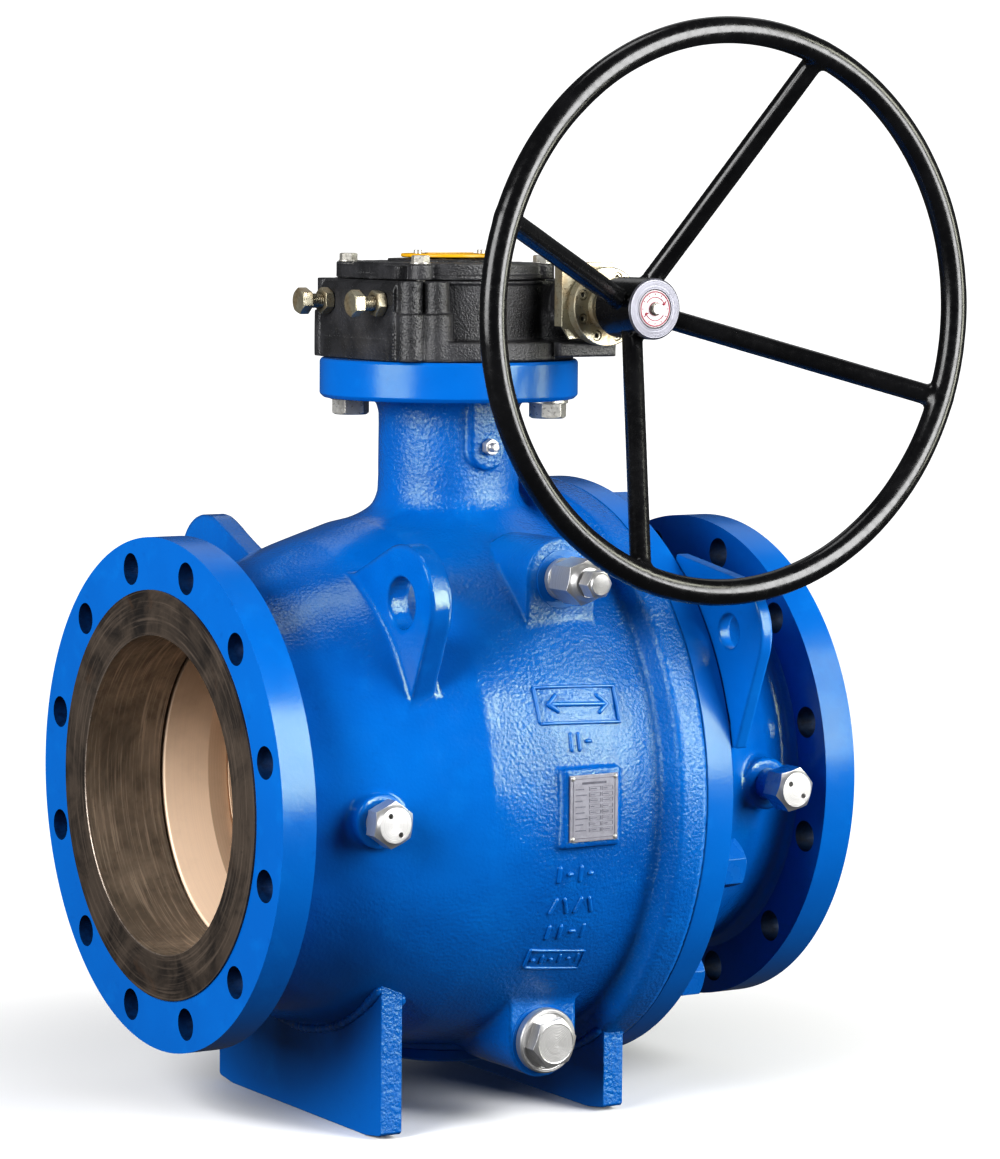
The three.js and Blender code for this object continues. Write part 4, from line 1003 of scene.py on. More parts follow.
end_flange("inlet_flange", -1)
end_flange("outlet_flange", 1)
lathe("operator_flange", [(308, 37), (308, 101.8), (311.2, 105), (337.8, 105), (340, 103.2),
                          (340, 65), (334.6, 65), (334.6, 37)], "smooth", count=160, bevel=0.8)
for name, at, face, back, radius in (("bleed_spot_face", BLEED_AT, -172.7, -170, 23),
                                     ("drain_spot_face", DRAIN_AT, -150.7, -148, 28.6)):
    lathe(name, [(face, 0), (face, radius), (back, radius), (back, 0)], "smooth", "y", at, 72,
          bevel=0.25)

# ---------------------------------------------------------------- closure casting
lathe("closure_ring", [(83.2, 172), (83.2, 196), (85.2, 196), (85.2, 190.4), (91.8, 190.4),
                       (91.8, 196), (93.8, 196), (93.8, 238.9), (94.8, 240.2),
                       (118.4, 240.2), (120, 238.6), (120, 180), (108, 172)],
      ["smooth", "inner"], "x", count=256, strips=[1, 1, 1, 1, 1, 1, 1, 0, 0, 0, 0, 1, 1],
      replaces="closure_casting")
# (x, radius about the bore)
CONE_OUTER = Outline([
    (112, -60), (112, 207), (120, 207), (123, 201), (128, 197), (146, 189), (172, 177),
    (215, 158), (226, 156.2), (232, 159), (236.3, 166), (245, 166), (245, -60)],
    step=0.6, pad=40, blur=1.2)
CONE_CAVITY = Outline([
    (80, -60), (80, 171), (96, 171), (104, 161), (171.5, 161), (171.5, 151), (262, 151),
    (262, -60)], step=0.6, pad=40)


def cone_field(x, y, z):
    bore_r = np.hypot(y, z)
    sealant = (CLOSURE_SEALANT_AT[0], CLOSURE_SEALANT_AT[2])
    field = join(CONE_OUTER(x, bore_r), cylinder(x, z, y, sealant, 21, -181, -140, 2), 6)
    field = field + 0.35 * lumps(x, y, z, 400, 46) + 0.15 * lumps(x, y, z, 300, 15)
    return np.maximum(field, -CONE_CAVITY(x, bore_r))


def cone_lined(verts):
    return CONE_CAVITY(verts[:, 0], np.hypot(verts[:, 1], verts[:, 2])) < 1.2


cast("closure_cone", cone_field, (104, -220, -220), (250, 220, 220), 3.0,
     ["closure", "inner"], lined=cone_lined)


def closure_lug(place, degrees):
    """Lifting-eye shaped plate on the split ring, cleared round two stud nuts."""
    points, hole = lug_outline(degrees, hole_r=264, tip_r=44, root_r=243, half_angle=20.5)
    shape = Outline(points, step=0.4, pad=20, blur=0.5)
    nuts = [polar(STUD_CIRCLE_R, degrees + offset) for offset in (-15, 15)]

    def field(x, y, z):
        lug = trim(shape(y, z), slab(x, 120.3, 131.3), 1.6)
        lug = trim(lug, 14 - np.hypot(y - hole[0], z - hole[1]), 1.2)
        for nut_y, nut_z in nuts:
            lug = trim(lug, 22.3 - np.hypot(y - nut_y, z - nut_z), 1.5)
        return lug + 0.15 * lumps(x, y, z, 300, 14)

    low, high = np.min(points, 0) - 6, np.max(points, 0) + 6
    cast("closure_lug_plate_" + place, field, (115, *low), (137, *high), 1.6, ["smooth"],
         "closure_lug_" + place)


closure_lug("front", 150)
closure_lug("rear", 30)

# ---- studs and nuts; every third one stands for a bolt of the CAD model
STUD = [(70.6, 0), (70.6, 11.4), (120.6, 11.4), *hex_head(120.6, 141.5, 36, both=True),
        (141.5, 12.2), *thread_rings(141.6, 146.4, 11.9, pitch=1.6, depth=0.9),
        (147, 9.8), (147, 0)]
for i in range(12):
    lathe("closure_stud_%d" % (i + 1), STUD, "nut", "x", (0, *polar(STUD_CIRCLE_R, 15 + 30 * i)),
          HEX_COUNT, bevel=0.35, turn=rad(7 * i),
          replaces="closure_bolt_%d" % (i // 3 + 1) if i % 3 == 1 else None)
lathe("closure_gasket", [(85.6, 190.8), (85.6, 196), (91.4, 196), (91.4, 190.8)], "rubber",
      "x", count=128, bevel=1.0, replaces="closure_seal")

# ---------------------------------------------------------------- feet
FOOT_HALF_Y = 133.7
# (y, z) of the sole, from -y to +y
FOOT_SOLE = [(-FOOT_HALF_Y, -259.5), (-131.5, -261.6), (-110, -264.7), (110, -264.7),
             (131.5, -261.6), (FOOT_HALF_Y, -259.5)]


def foot(place, span, saddle_r):
    reach = math.asin(FOOT_HALF_Y / saddle_r)
    arc = [(saddle_r * math.sin(a), -saddle_r * math.cos(a))
           for a in np.linspace(reach, -reach, 49)]
    prism("foot_plate_" + place, FOOT_SOLE + arc, *span, "x", "smooth", 0.9,
          replaces="support_foot_" + place, edge_mat="edge")


def weld_bead(name, x, arc_r, half_y, bead_r, sides=12):
    """Slightly uneven bead along an arc under the bore."""
    reach = math.asin(half_y / arc_r)
    angles = np.linspace(-reach, reach, int(2 * reach * arc_r / 1.6))
    path = np.stack([np.full_like(angles, x), arc_r * np.sin(angles),
                     -arc_r * np.cos(angles)], 1)
    path[:, 0] += 0.35 * np.sin(angles * 61)
    tangents = np.gradient(path, axis=0)
    tangents /= np.linalg.norm(tangents, axis=1)[:, None]
    normal = np.cross(tangents[0], [0.0, 0.0, 1.0])
    normal /= np.linalg.norm(normal)
    verts = []
    for i, (point, tangent) in enumerate(zip(path, tangents)):
        normal = normal - tangent * (normal @ tangent)
        normal /= np.linalg.norm(normal)
        side = np.cross(tangent, normal)
        taper = min(1, 0.35 + i / 5, 0.35 + (len(path) - 1 - i) / 5)
        radius = (bead_r + 0.28 * math.sin(i * 1.15) + 0.4 * math.sin(i * 0.17)) * taper
        for j in range(sides):
            angle = 2 * math.pi * j / sides
            verts.append(point + radius * (math.cos(angle) * normal + math.sin(angle) * side))
    solid(name, verts, sweep_faces(0, len(path), sides), ["nut"])


foot("inlet", INLET_PLATE_X, 192.5)
foot("outlet", OUTLET_FOOT_X, 236.5)
weld_bead("foot_weld_inlet_a", -139.4, arc_r=195.8, half_y=133, bead_r=3.6)
weld_bead("foot_weld_inlet_b", -118.8, arc_r=202.2, half_y=133, bead_r=4.4)
weld_bead("foot_weld_outlet_a", 68.4, arc_r=236.5, half_y=132, bead_r=3.8)
weld_bead("foot_weld_outlet_b", 88.6, arc_r=240.6, half_y=132, bead_r=2.6)

# ---------------------------------------------------------------- bottom cover
COVER_SCREWS = [(*polar(COVER_SCREW_R, 90 * i), 0) for i in range(4)]
lathe("bottom_cover", [(-228.6, 0), (-228.6, 58), (-226.6, 60), (-218.9, 60), (-218.9, 0)],
      "smooth", replaces="trunnion_cover",
      cutters=[cylinder_cutter([(at, 8.4, -240, -223.4) for at in COVER_SCREWS], "z")])
for i, at in enumerate(COVER_SCREWS):
    cap_screw("bottom_cover_screw_%d" % (i + 1), "z", at, -221.5, -228.2, radius=7.4, flats=7,
              mat="bright")


# ---------------------------------------------------------------- seats, ball and stem
def on_sphere(sphere_r, radius):
    return math.sqrt(sphere_r * sphere_r - radius * radius)


def seat(place, side):
    """Carrier, polymer face, rear seal and wave spring of one seat."""
    outer_arc = [(on_sphere(SEAT_SPHERE_R, r), r) for r in np.linspace(152, 145, 3)]
    inner_arc = [(on_sphere(SEAT_SPHERE_R, r), r) for r in np.linspace(137, 130.4, 3)]
    carrier = [(193.4, 126.6), (194.8, 128.2), (194.8, 143), (186, 143), (186, 137.8),
               (179.6, 137.8), (179.6, 143), (167.4, 143), (167.4, 160),
               (on_sphere(SEAT_SPHERE_R, 152), 160), *outer_arc, (129, 145), (129, 137),
               *inner_arc, (153.5, 126.6)]
    face = [(128.7, 137.3), (128.7, 144.7), (on_sphere(186.3, 144.7), 144.7),
            (on_sphere(186.3, 137.3), 137.3)]
    seal = [(180.2, 138.3), (180.2, 142.9), (185.4, 142.9), (185.4, 138.3)]
    wave = 170.0 + 0.55 * np.cos(4 * ring_angles(128))
    spring = [(wave - 0.4, 146), (wave - 0.4, 157), (wave + 0.4, 157), (wave + 0.4, 146)]
    body = "seat_" + place
    lathe("seat_carrier_" + place, mirrored(carrier, side), ["seat", "ball"], "x", count=160,
          strips=[0] * (len(carrier) - 2) + [1, 0], body=body, replaces="seat_ring_" + place)
    lathe("seat_face_" + place, mirrored(face, side), "ptfe", "x", count=160, body=body,
          replaces="seat_insert_" + place, bevel=0.15)
    lathe("seat_rear_seal_" + place, mirrored(seal, side), "rubber", "x", count=128,
          body=body, replaces="seat_seal_" + place, bevel=1.2, segments=3)
    lathe("wave_spring_" + place, mirrored(spring, side), "spring", "x", count=128,
          replaces="seat_spring_" + place, bevel=0.1, segments=1)


def bored_ball():
    reach = math.acos(BORE_R / BALL_R)
    arc = [(BALL_R * math.sin(a), BALL_R * math.cos(a)) for a in np.linspace(reach, -reach, 57)]
    # flats at top and bottom, the slot for the stem tang, the hole for the trunnion
    cutters = [box_cutter((-200, -200, 172), (200, 200, 210)),
               box_cutter((-200, -200, -210), (200, 200, -172)),
               box_cutter((-40, -18, 150), (40, 18, 190)),
               cylinder_cutter([((0, 0, 0), 30.6, -190, -149)], "z", 48)]
    lathe("bored_ball", arc, "ball", "x", count=160, body="ball_stem", replaces="ball",
          cutters=cutters, bevel=1.2)


seat("inlet", -1)
seat("outlet", 1)
bored_ball()
lathe("stem_bar", [(150.4, 0), (150.4, 17.6), (172.4, 17.6), (172.4, 39), (194.8, 39),
                   (194.8, 25), (346, 25), (346, 22.5), (403.4, 22.5), (403.4, 15),
                   (420.9, 15), (420.9, 0)], "steel", body="ball_stem", replaces="stem")
prism("stem_tang", rectangle(-39.7, 39.7, -17.7, 17.7), 150.4, 172.6, "z", "steel", 0.8,
      "ball_stem")
# CAD piece, finish, (z, radius) profile
STEM_PARTS = [
    ("stem_thrust_washer", "ptfe", [(195.2, 25.4), (195.2, 40.6), (199.7, 40.6), (199.7, 25.4)]),
    ("stem_bearing", "bronze", [(202, 25.4), (202, 29.7), (252, 29.7), (252, 25.4)]),
    ("stem_packing", "ptfe", [(262.3, 25.4), (262.3, 35.7), (290, 35.7), (290, 25.4)]),
    ("gland_bush", "stainless", [(290.3, 25.4), (290.3, 35.7), (326, 35.7), (326, 33),
                                 (333.6, 33), (333.6, 25.4)]),
    ("lower_trunnion", "stainless", [(-218.4, 0), (-218.4, 33.7), (-197, 33.7), (-197, 25),
                                     (-151, 25), (-151, 0)]),
    ("trunnion_bearing", "bronze", [(-186, 25.3), (-186, 30), (-152, 30), (-152, 25.3)]),
]
for name, mat, profile in STEM_PARTS:
    lathe(name + "_turned", profile, mat, count=80, replaces=name, bevel=0.4)

# ---------------------------------------------------------------- fittings on the -y side
DRAIN_PLUG = [(-130, 0), (-130, 16), (-150.9, 16), (-150.9, 25.2), (-151.8, 26), (-158.0, 26),
              (-159.4, 24.8), (-159.4, 22.6), (-158.6, 21.6),
              *hex_head(-158.6, -170.4, 36, 16.6), (-170.4, 15.8), (-170.1, 15.4),
              (-170.1, 0)]
BLEED_BODY = [(-152, 0), (-152, 12), (-172.9, 12), (-172.9, 16.6), (-178.4, 16.6),
              (-179.4, 15.2), (-180.2, 15.2), *hex_head(-180.2, -208, 32, 14.9),
              (-209.6, 14.0), (-212, 11.6), (-212, 8.2), (-210.5, 8.0), (-191, 8.0),
              (-191, 0)]
BLEED_PLUG = [(-191.2, 0), (-191.2, 7), (-213.6, 7), (-214, 8.2),
              *hex_head(-214, -227.4, 20, 9.0), (-228.6, 8.4), (-228.9, 7.8), (-228.5, 0)]
GREASE_NIPPLE = [(-48, 0), (-48, 4), (-62.5, 4), (-62.5, 5.6), *hex_head(-62.5, -68.6, 12),
                 (-68.6, 4.0), (-70, 2.9), (-71.4, 3.7), (-73.2, 3.7), (-74, 2.6), (-74, 0)]


def fitting(name, at, profile, replaces, turn=0.0, body="valve_body"):
    lathe(name, profile, "stainless", "y", at, HEX_COUNT, bevel=0.3, body=body,
          replaces=replaces, turn=turn)


def sealant_fitting(place, at, boss, collar, tip, collar_r, port, turn, painted):
    """Hexagon on a round collar, with two small holes in its end; port is their x, z."""
    base = [(boss + 16, 0), (boss + 16, 8), (boss, 8), (boss, collar_r),
            (collar + 1.2, collar_r), (collar, collar_r - 1.0)]
    profile = [*base, *hex_head(collar, tip + 2.2, 32, 15.4), (tip + 0.3, 13.9),
               (tip, 13.4), (tip, 0)]
    holes = [((at[0] + port[0] * side, 0, at[2] + port[1] * side), 2.1, tip - 4, tip + 7)
             for side in (-1, 1)]
    lathe("sealant_%s_fitting" % place, profile, ["stainless"] + ["nut"] * painted, "y", at,
          HEX_COUNT, bevel=0.3, replaces="sealant_fitting_" + place, turn=turn,
          cutters=[cylinder_cutter(holes, "y", 24)],
          strips=[1] * (len(base) + 1) + [0] * 5 if painted else None)


fitting("drain_plug_turned", DRAIN_AT, DRAIN_PLUG, "drain_plug", turn=0.35)
fitting("bleed_body", BLEED_AT, BLEED_BODY, "bleed_fitting", turn=0.2)
fitting("bleed_plug_turned", BLEED_AT, BLEED_PLUG, "bleed_plug", turn=0.5, body="bleed_screw")
sealant_fitting("body", BODY_SEALANT_AT, boss=-192.6, collar=-197, tip=-213, collar_r=14.5,
                port=(4.4, -7.4), turn=0.1, painted=False)
sealant_fitting("closure", CLOSURE_SEALANT_AT, boss=-181.6, collar=-199, tip=-221,
                collar_r=13, port=(6.2, -5.2), turn=0.3, painted=True)
fitting("grease_nipple", (0, 0, 271), GREASE_NIPPLE, "stem_grease_fitting")


# ---------------------------------------------------------------- nameplate
def plate_lines():
    """Blank form on the nameplate: a border, a heading and eight rows of boxes."""
    verts, faces = [], []

    def line(low_x, high_x, low_z, high_z):
        base = len(verts)
        verts.extend(box_corners((low_x, -227.95, low_z), (high_x, -227.6, high_z)))
        faces.extend([tuple(base + i for i in face) for face in BOX_FACES])

    line(-23.4, 15.4, 23.9, 24.3)
    line(-23.4, 15.4, -22.4, -22.0)
    line(-23.4, -23.0, -22.4, 24.3)
    line(15.0, 15.4, -22.4, 24.3)
    line(-15, 7, 19.6, 21.4)
    caption_lengths = (7.5, 10, 6, 9, 8, 11, 7, 9.5)
    entry_lengths = (5.5, 4, 6.4, 3.5, 5, 6, 4.6, 5.2)
    for row in range(8):
        z = 16.0 - row * 4.6
        line(-21, -21 + caption_lengths[row], z - 0.35, z + 0.45)
        for left, right, skip in ((-8.5, 2.0, 0), (3.2, 13.2, 3)):
            line(left, right, z - 1.5, z - 1.25)
            line(left, right, z + 1.3, z + 1.55)
            line(left, left + 0.25, z - 1.5, z + 1.55)
            line(right - 0.25, right, z - 1.5, z + 1.55)
            line(left + 1.2, left + 1.2 + entry_lengths[(row + skip) % 8], z - 0.3, z + 0.35)
    piece = solid("name_plate_lines", verts, faces, ["ink"])
    piece.data.polygons.foreach_set("use_smooth", np.zeros(len(piece.data.polygons), bool))


prism("name_plate", rectangle(-26, 18, -25, 27), -227.7, -226.2, "y", "plate", 0.35,
      replaces="nameplate")
plate_lines()
RIVET = [(-226.5, 0), (-226.5, 1.9), (-227.9, 1.9), (-228.6, 1.5), (-229.0, 0.8), (-229.1, 0)]
for i, (x, z) in enumerate(((-23.6, 24.6), (15.6, 24.6), (-23.6, -22.6), (15.6, -22.6))):
    lathe("name_plate_rivet_%d" % (i + 1), RIVET, "bright", "y", (x, 0, z), 24, bevel=0)

# ---------------------------------------------------------------- foundry marks
# (x, radius) of the barrel the marks lie on
BARREL = np.array([(-236.3, 166), (-222, 167), (-180, 181), (-135, 196), (-85, 211),
                   (-30, 220.5), (25, 223), (57, 221)])


def on_barrel(x, degrees):
    """Point on the -y side, raised by an angle about the bore."""
    radius = np.interp(x, BARREL[:, 0], BARREL[:, 1])
    return np.array([x, -radius * math.cos(rad(degrees)), radius * math.sin(rad(degrees))])


def add_rib(verts, faces, width, height, path, sides=9):
    """Half-round rib along (x, degrees) points on the barrel."""
    stations = []
    for (x0, a0), (x1, a1) in zip(path[:-1], path[1:]):
        length = math.hypot(x1 - x0, (a1 - a0) * 3.8)
        count = max(2, int(length / 1.2))
        for i in range(count):
            stations.append((x0 + (x1 - x0) * i / count, a0 + (a1 - a0) * i / count))
    stations.append(path[-1])
    centres = np.array([on_barrel(x, a) for x, a in stations])
    tangents = np.gradient(centres, axis=0)
    tangents /= np.linalg.norm(tangents, axis=1)[:, None]
    base = len(verts)
    for i, (centre, tangent) in enumerate(zip(centres, tangents)):
        normal = np.array([0.0, centre[1], centre[2]])
        normal /= np.linalg.norm(normal)
        normal = normal - tangent * (normal @ tangent)
        normal /= np.linalg.norm(normal)
        side = np.cross(tangent, normal)
        taper = 1.0 if 0 < i < len(centres) - 1 else 0.45
        for j in range(sides):
            angle = math.pi * j / (sides - 1)
            sink = 1.2 if j in (0, sides - 1) else 0
            verts.append(centre + side * (width / 2 * math.cos(angle) * taper)
                         + normal * (height * math.sin(angle) ** 0.75 * taper - sink))
    faces.extend(sweep_faces(base, len(centres), sides))


def foundry_marks():
    """A double-ended arrow in a panel, rows of plain bars, and a second panel."""
    # width, height, path
    ribs = [
        (3.0, 2.175, [(-42, 17.6), (-42, 25.2), (28, 24.2), (28, 16.8), (-42, 17.6)]),
        (4.0, 2.755, [(-32, 21.4), (18, 20.6)]),
        (3.75, 2.755, [(-24, 23.4), (-33, 21.4), (-24, 19.6)]),
        (3.75, 2.755, [(10, 22.8), (19, 20.6), (10, 18.8)]),
        (3.5, 2.465, [(-18, 11.4), (-18, 15.4)]),
        (3.5, 2.465, [(-11, 11.4), (-11, 15.4)]),
        (3.25, 2.32, [(-6, 13.4), (1, 13.4)]),
    ]
    for i, x in enumerate((-27, -17.5, -8, 1)):
        upright, level = [(x, -15.4), (x, -11.6)], [(x - 3, -13.5), (x + 3, -13.5)]
        ribs.append((3.5, 2.465, level if i % 2 else upright))
    for i, x in enumerate((-30, -19, -8, 3)):
        rising, falling = [(x, -22.4), (x + 5, -18.6)], [(x, -18.6), (x + 5, -22.4)]
        ribs.append((3.25, 2.32, falling if i % 2 else rising))
    for i, x in enumerate((-26, -15.5, -5, 5)):
        upright, level = [(x, -28.6), (x, -24.9)], [(x - 3, -26.7), (x + 4, -26.7)]
        ribs.append((3.25, 2.32, level if i == 2 else upright))
    ribs.append((2.25, 1.595, [(-36, -36.0), (-36, -31.2), (14, -32.2), (14, -37.0),
                               (-36, -36.0)]))
    for i in range(6):
        x = -31 + 8 * i
        upright, level = [(x, -35.0), (x, -32.6)], [(x - 2, -33.9), (x + 2.6, -33.9)]
        ribs.append((2.75, 2.03, upright if i % 2 else level))
    verts, faces = [], []
    for width, height, path in ribs:
        add_rib(verts, faces, width, height, path)
    solid("foundry_marks", verts, faces, ["nut"])


foundry_marks()

# ---------------------------------------------------------------- gearbox
GEAR_BASE, GEAR_TOP = 340.4, 404.0
COVER_BOLTS = [(52, -58), (-60, 60), (-62, -58), (52, 58)]     # (x, y)
SIDE_BOSSES = [(-75, -66, 11.5), (-55, -73, 12), (-75, 66, 11.5), (-55, 73, 12)]  # x, y, radius
# (x, z) of the block on the -x side
GEAR_BLOCK = Outline([(-88, GEAR_BASE), (0, GEAR_BASE), (0, GEAR_TOP), (-80, GEAR_TOP),
                      (-85, 401.5), (-88, 396)], step=0.4, pad=20, blur=0.3)
# (x, y) of the same block in the cover
LID_BLOCK = Outline([(-79, -48), (0, -54), (0, 54), (-79, 46)], step=0.4, pad=20, blur=0.4)


def gear_case_field(x, y, z):
    stem_r = np.hypot(x, y)
    field = trim(stem_r - 80, slab(z, GEAR_BASE, GEAR_TOP), 1.2)
    field = join(field, trim(GEAR_BLOCK(x, z), slab(y, -60, 57), 1.4), 2.0)
    base_disc = trim(trim(stem_r - 101, slab(z, GEAR_BASE, 356), 1.8), -88 - x, 1.2)
    field = join(field, base_disc, 2.2)
    for boss_x, boss_y, radius in SIDE_BOSSES:
        inset_y = boss_y + (1.5 if boss_y < 0 else -1.5)
        field = join(field, cylinder(x, y, z, (boss_x, boss_y), radius, GEAR_BASE, 378, 1.6),
                     2.4)
        field = join(field, cylinder(x, y, z, (boss_x, inset_y), radius - 1.8, 370, GEAR_TOP,
                                     1.2), 2.0)
    for side in (-1, 1):
        field = join(field, cylinder(x, y, z, (58.3, side * 58.3), 14, GEAR_BASE, 378, 1.8),
                     2.6)
    for bolt in COVER_BOLTS:
        field = join(field, cylinder(x, y, z, bolt, 10, 370, GEAR_TOP, 1.2), 2.4)
    # worm barrel and the two blocks under it
    field = join(field, cylinder(x, z, y, (SHAFT_X, SHAFT_Z), 27, -100, 98, 2.0), 3.0)
    field = join(field, rounded_box(x, y, z, (43, -100, 343.5), (97, 60, 355), 1.6), 2.0)
    field = join(field, rounded_box(x, y, z, (58, -70, 350), (100, 70, 372), 2.0), 3.0)
    # ridge at the joint with the cover
    field = join(field, trim(stem_r - 81.6, slab(z, 401.2, GEAR_TOP), 0.7), 0.9)
    field = field + 0.16 * lumps(x, y, z, 300, 9)
    field = trim(trim(field, z - GEAR_TOP, 0.3), GEAR_BASE - z, 0.3)
    # gear chamber, stem hole, worm bore and the stop screw holes
    field = np.maximum(field, 72.5 - stem_r - (z < 350) * FAR)
    field = np.maximum(field, 40 - stem_r)
    field = np.maximum(field, 19.2 - np.hypot(x - SHAFT_X, z - SHAFT_Z) - (y > 80) * FAR)
    for side in (-1, 1):
        hole = 6.4 - np.hypot(y - STOP_Y * side, z - STOP_Z)
        field = np.maximum(field, hole - (x > -50) * FAR)
    return field


def gear_cover_field(x, y, z):
    low, high = 404.6, 418.0
    stem_r = np.hypot(x, y)
    field = trim(trim(stem_r - 79, slab(z, low, high), 1.6), x - 60.5, 1.4)
    field = join(field, trim(LID_BLOCK(x, y), slab(z, low, high - 2), 1.4), 1.4)
    for bolt in COVER_BOLTS:
        field = join(field, cylinder(x, y, z, bolt, 9.8, low, high - 0.8, 1.2), 2.4)
    # lip round the joint, then the raised disc
    lip = trim(trim(stem_r - 80.6, slab(z, low, 408.4), 0.7), x - 61.5, 0.8)
    field = join(field, lip, 0.9)
    field = join(field, cylinder(x, y, z, (0, 0), 50, 412, high + 2.4, 0.9), 1.2)
    field = field + 0.14 * lumps(x, y, z, 300, 9)
    return np.maximum(trim(field, low - z, 0.3), 15.7 - stem_r)


cast("gear_case", gear_case_field, (-94, -106, 336), (112, 104, 409), 1.5, ["iron"],
     "gearbox_housing")
cast("gear_cover", gear_cover_field, (-88, -86, 401), (68, 86, 424), 1.4, ["iron"],
     "gearbox_cover")

# ---- gearbox fasteners
COVER_SCREW = [(386, 0), (386, 4), (417.3, 4), (417.3, 8.2), (418.5, 8.2), (418.6, 6.2),
               *hex_head(418.6, 424.2, 13), (424.2, 0)]
MOUNT_STUD = [(308.4, 0), (308.4, 8.6), *thread_rings(308.9, 320, 10, pitch=2.5, depth=1.3),
              (348.4, 9.4), (348.4, 0)]
MOUNT_BOLT = [(348.4, 0), (348.4, 10), (304.9, 10), (304.8, 12.6),
              *hex_head(304.8, 292.6, 27), (292.6, 10.2), (293.0, 9.4), (293.0, 0)]
MOUNT_WASHER = [(304.9, 10.4), (304.9, 16.6), (307.7, 16.6), (307.7, 10.4)]
for i, (x, y) in enumerate(COVER_BOLTS):
    lathe("cover_screw_%d" % (i + 1), COVER_SCREW, "bright", "z", (x, y, 0), HEX_COUNT,
          replaces="cover_bolt_%d" % (i + 1), bevel=0.2, turn=0.4 + i)
for i in range(4):
    at = (*polar(MOUNT_BOLT_R, 45 + 90 * i), 0)
    if i == 2:
        lathe("mount_stud", MOUNT_STUD, "bright", "z", at, 36,
              replaces="operator_mount_stud", bevel=0.2)
        continue
    lathe("mount_bolt_%d" % (i + 1), MOUNT_BOLT, "bright", "z", at, HEX_COUNT,
          replaces="operator_mount_bolt_%d" % (i + 1), bevel=0.3, turn=0.26 + i * 0.5)
    lathe("mount_washer_%d" % (i + 1), MOUNT_WASHER, "bright", "z", at, 48, bevel=0.4)


def threaded_bar(name, axis, at, start, end, radius, pitch, depth, mat, count=24):
    """Bar with a helical thread."""
    rings = int(abs(end - start) / pitch * 6) + 1
    angles = ring_angles(count)
    profile = [(start, 0.0)]
    for i in range(rings):
        height = start + (end - start) * i / (rings - 1)
        phase = (height / pitch - angles / (2 * math.pi)) % 1.0
        ring = radius - depth * np.abs(phase * 2 - 1)
        if i in (0, rings - 1):
            ring = np.full(count, radius - depth * 1.1)
        profile.append((height, ring))
    lathe(name, profile + [(end, 0.0)], mat, axis, at, count, bevel=0)


STOP_HEAD = [(-107, 0), (-107, 6.4), (-108, 8.6), *hex_head(-108.3, -117, 19), (-117, 7.4),
             (-116.7, 6.9), (-116.7, 0)]
STOP_NUT = [(-88.4, 6.05), *hex_head(-88.4, -96.4, 19, both=True), (-96.4, 6.6),
            (-95.8, 6.05)]
for i, side in enumerate((-1, 1)):
    at = (0, STOP_Y * side, STOP_Z)
    threaded_bar("stop_screw_thread_%d" % (i + 1), "x", at, -49.9, -108, radius=6.0,
                 pitch=1.75, depth=0.85, mat="zinc")
    lathe("stop_screw_head_%d" % (i + 1), STOP_HEAD, "zinc", "x", at, HEX_COUNT, bevel=0.3,
          replaces="stop_screw_%d" % (i + 1), turn=0.5 + i * 0.9)
    lathe("stop_nut_%d" % (i + 1), STOP_NUT, "zinc", "x", at, HEX_COUNT, bevel=0.25,
          replaces="stop_lock_nut_%d" % (i + 1), turn=0.2 + i * 1.3)

# ---- position indicator
lathe("indicator_disc", [(421.4, 0), (421.4, 38.2), (422.2, 39.5), (423.8, 39.5),
                         (424.6, 38.7), (424.6, 0)], "yellow", body="ball_stem",
      replaces="position_indicator", bevel=0.3)
prism("indicator_pointer", [(-22, -3), (8, -3), (8, -8), (23, 0), (8, 8), (8, 3), (-22, 3)],
      424.2, 425.4, "z", "yellow", 0.4, "ball_stem")
for i, x in enumerate((-30, 30)):
    cap_screw("indicator_screw_%d" % (i + 1), "z", (x, 0, 0), 424.0, 427.6, radius=3.4,
              flats=3.0, mat="bright", body="ball_stem", count=24)

# ---------------------------------------------------------------- worm drive
for place, low, high in (("outer", -75, -60), ("inner", 60, 75)):
    lathe("worm_bush_" + place, [(low, 10.3), (low, 18.6), (high, 18.6), (high, 10.3)],
          "bronze", "y", SHAFT_AT, 64, replaces="worm_bearing_" + place, bevel=0.4)
lathe("input_shaft", [(-176, 0), (-176, 9.4), (-175.2, 10), (-58, 10), (-58, 11.6),
                      (-32, 11.6), (-32, 12), (32, 12), (32, 11.6), (58, 11.6), (58, 10),
                      (77, 10), (77, 0)], "steel", "y", SHAFT_AT, 64,
      body="handwheel_shaft", replaces="worm_shaft", bevel=0.3)


def worm_thread():
    """Six turns of a trapezoidal thread with 20-degree flanks."""
    pitch, turns, steps_per_turn = math.pi * 2.5, 6, 36
    half, flank = pitch / 4 - 0.36, math.tan(rad(20))
    root, crest = half + 4.5 * flank, half - 2.3 * flank
    steps = steps_per_turn * turns
    verts = []
    for i in range(steps + 1):
        turn = i / steps_per_turn
        y = (turn - turns / 2) * pitch
        angle = 2 * math.pi * turn
        for radius, offset in ((10.5, -root), (17.3, -crest), (17.3, crest), (10.5, root)):
            verts.append((SHAFT_X - radius * math.cos(angle), y + offset,
                          SHAFT_Z + radius * math.sin(angle)))
    piece = solid("worm_thread", verts, sweep_faces(0, steps + 1, 4), ["steel"],
                  body="handwheel_shaft")
    bake(piece, 0.25, 1)


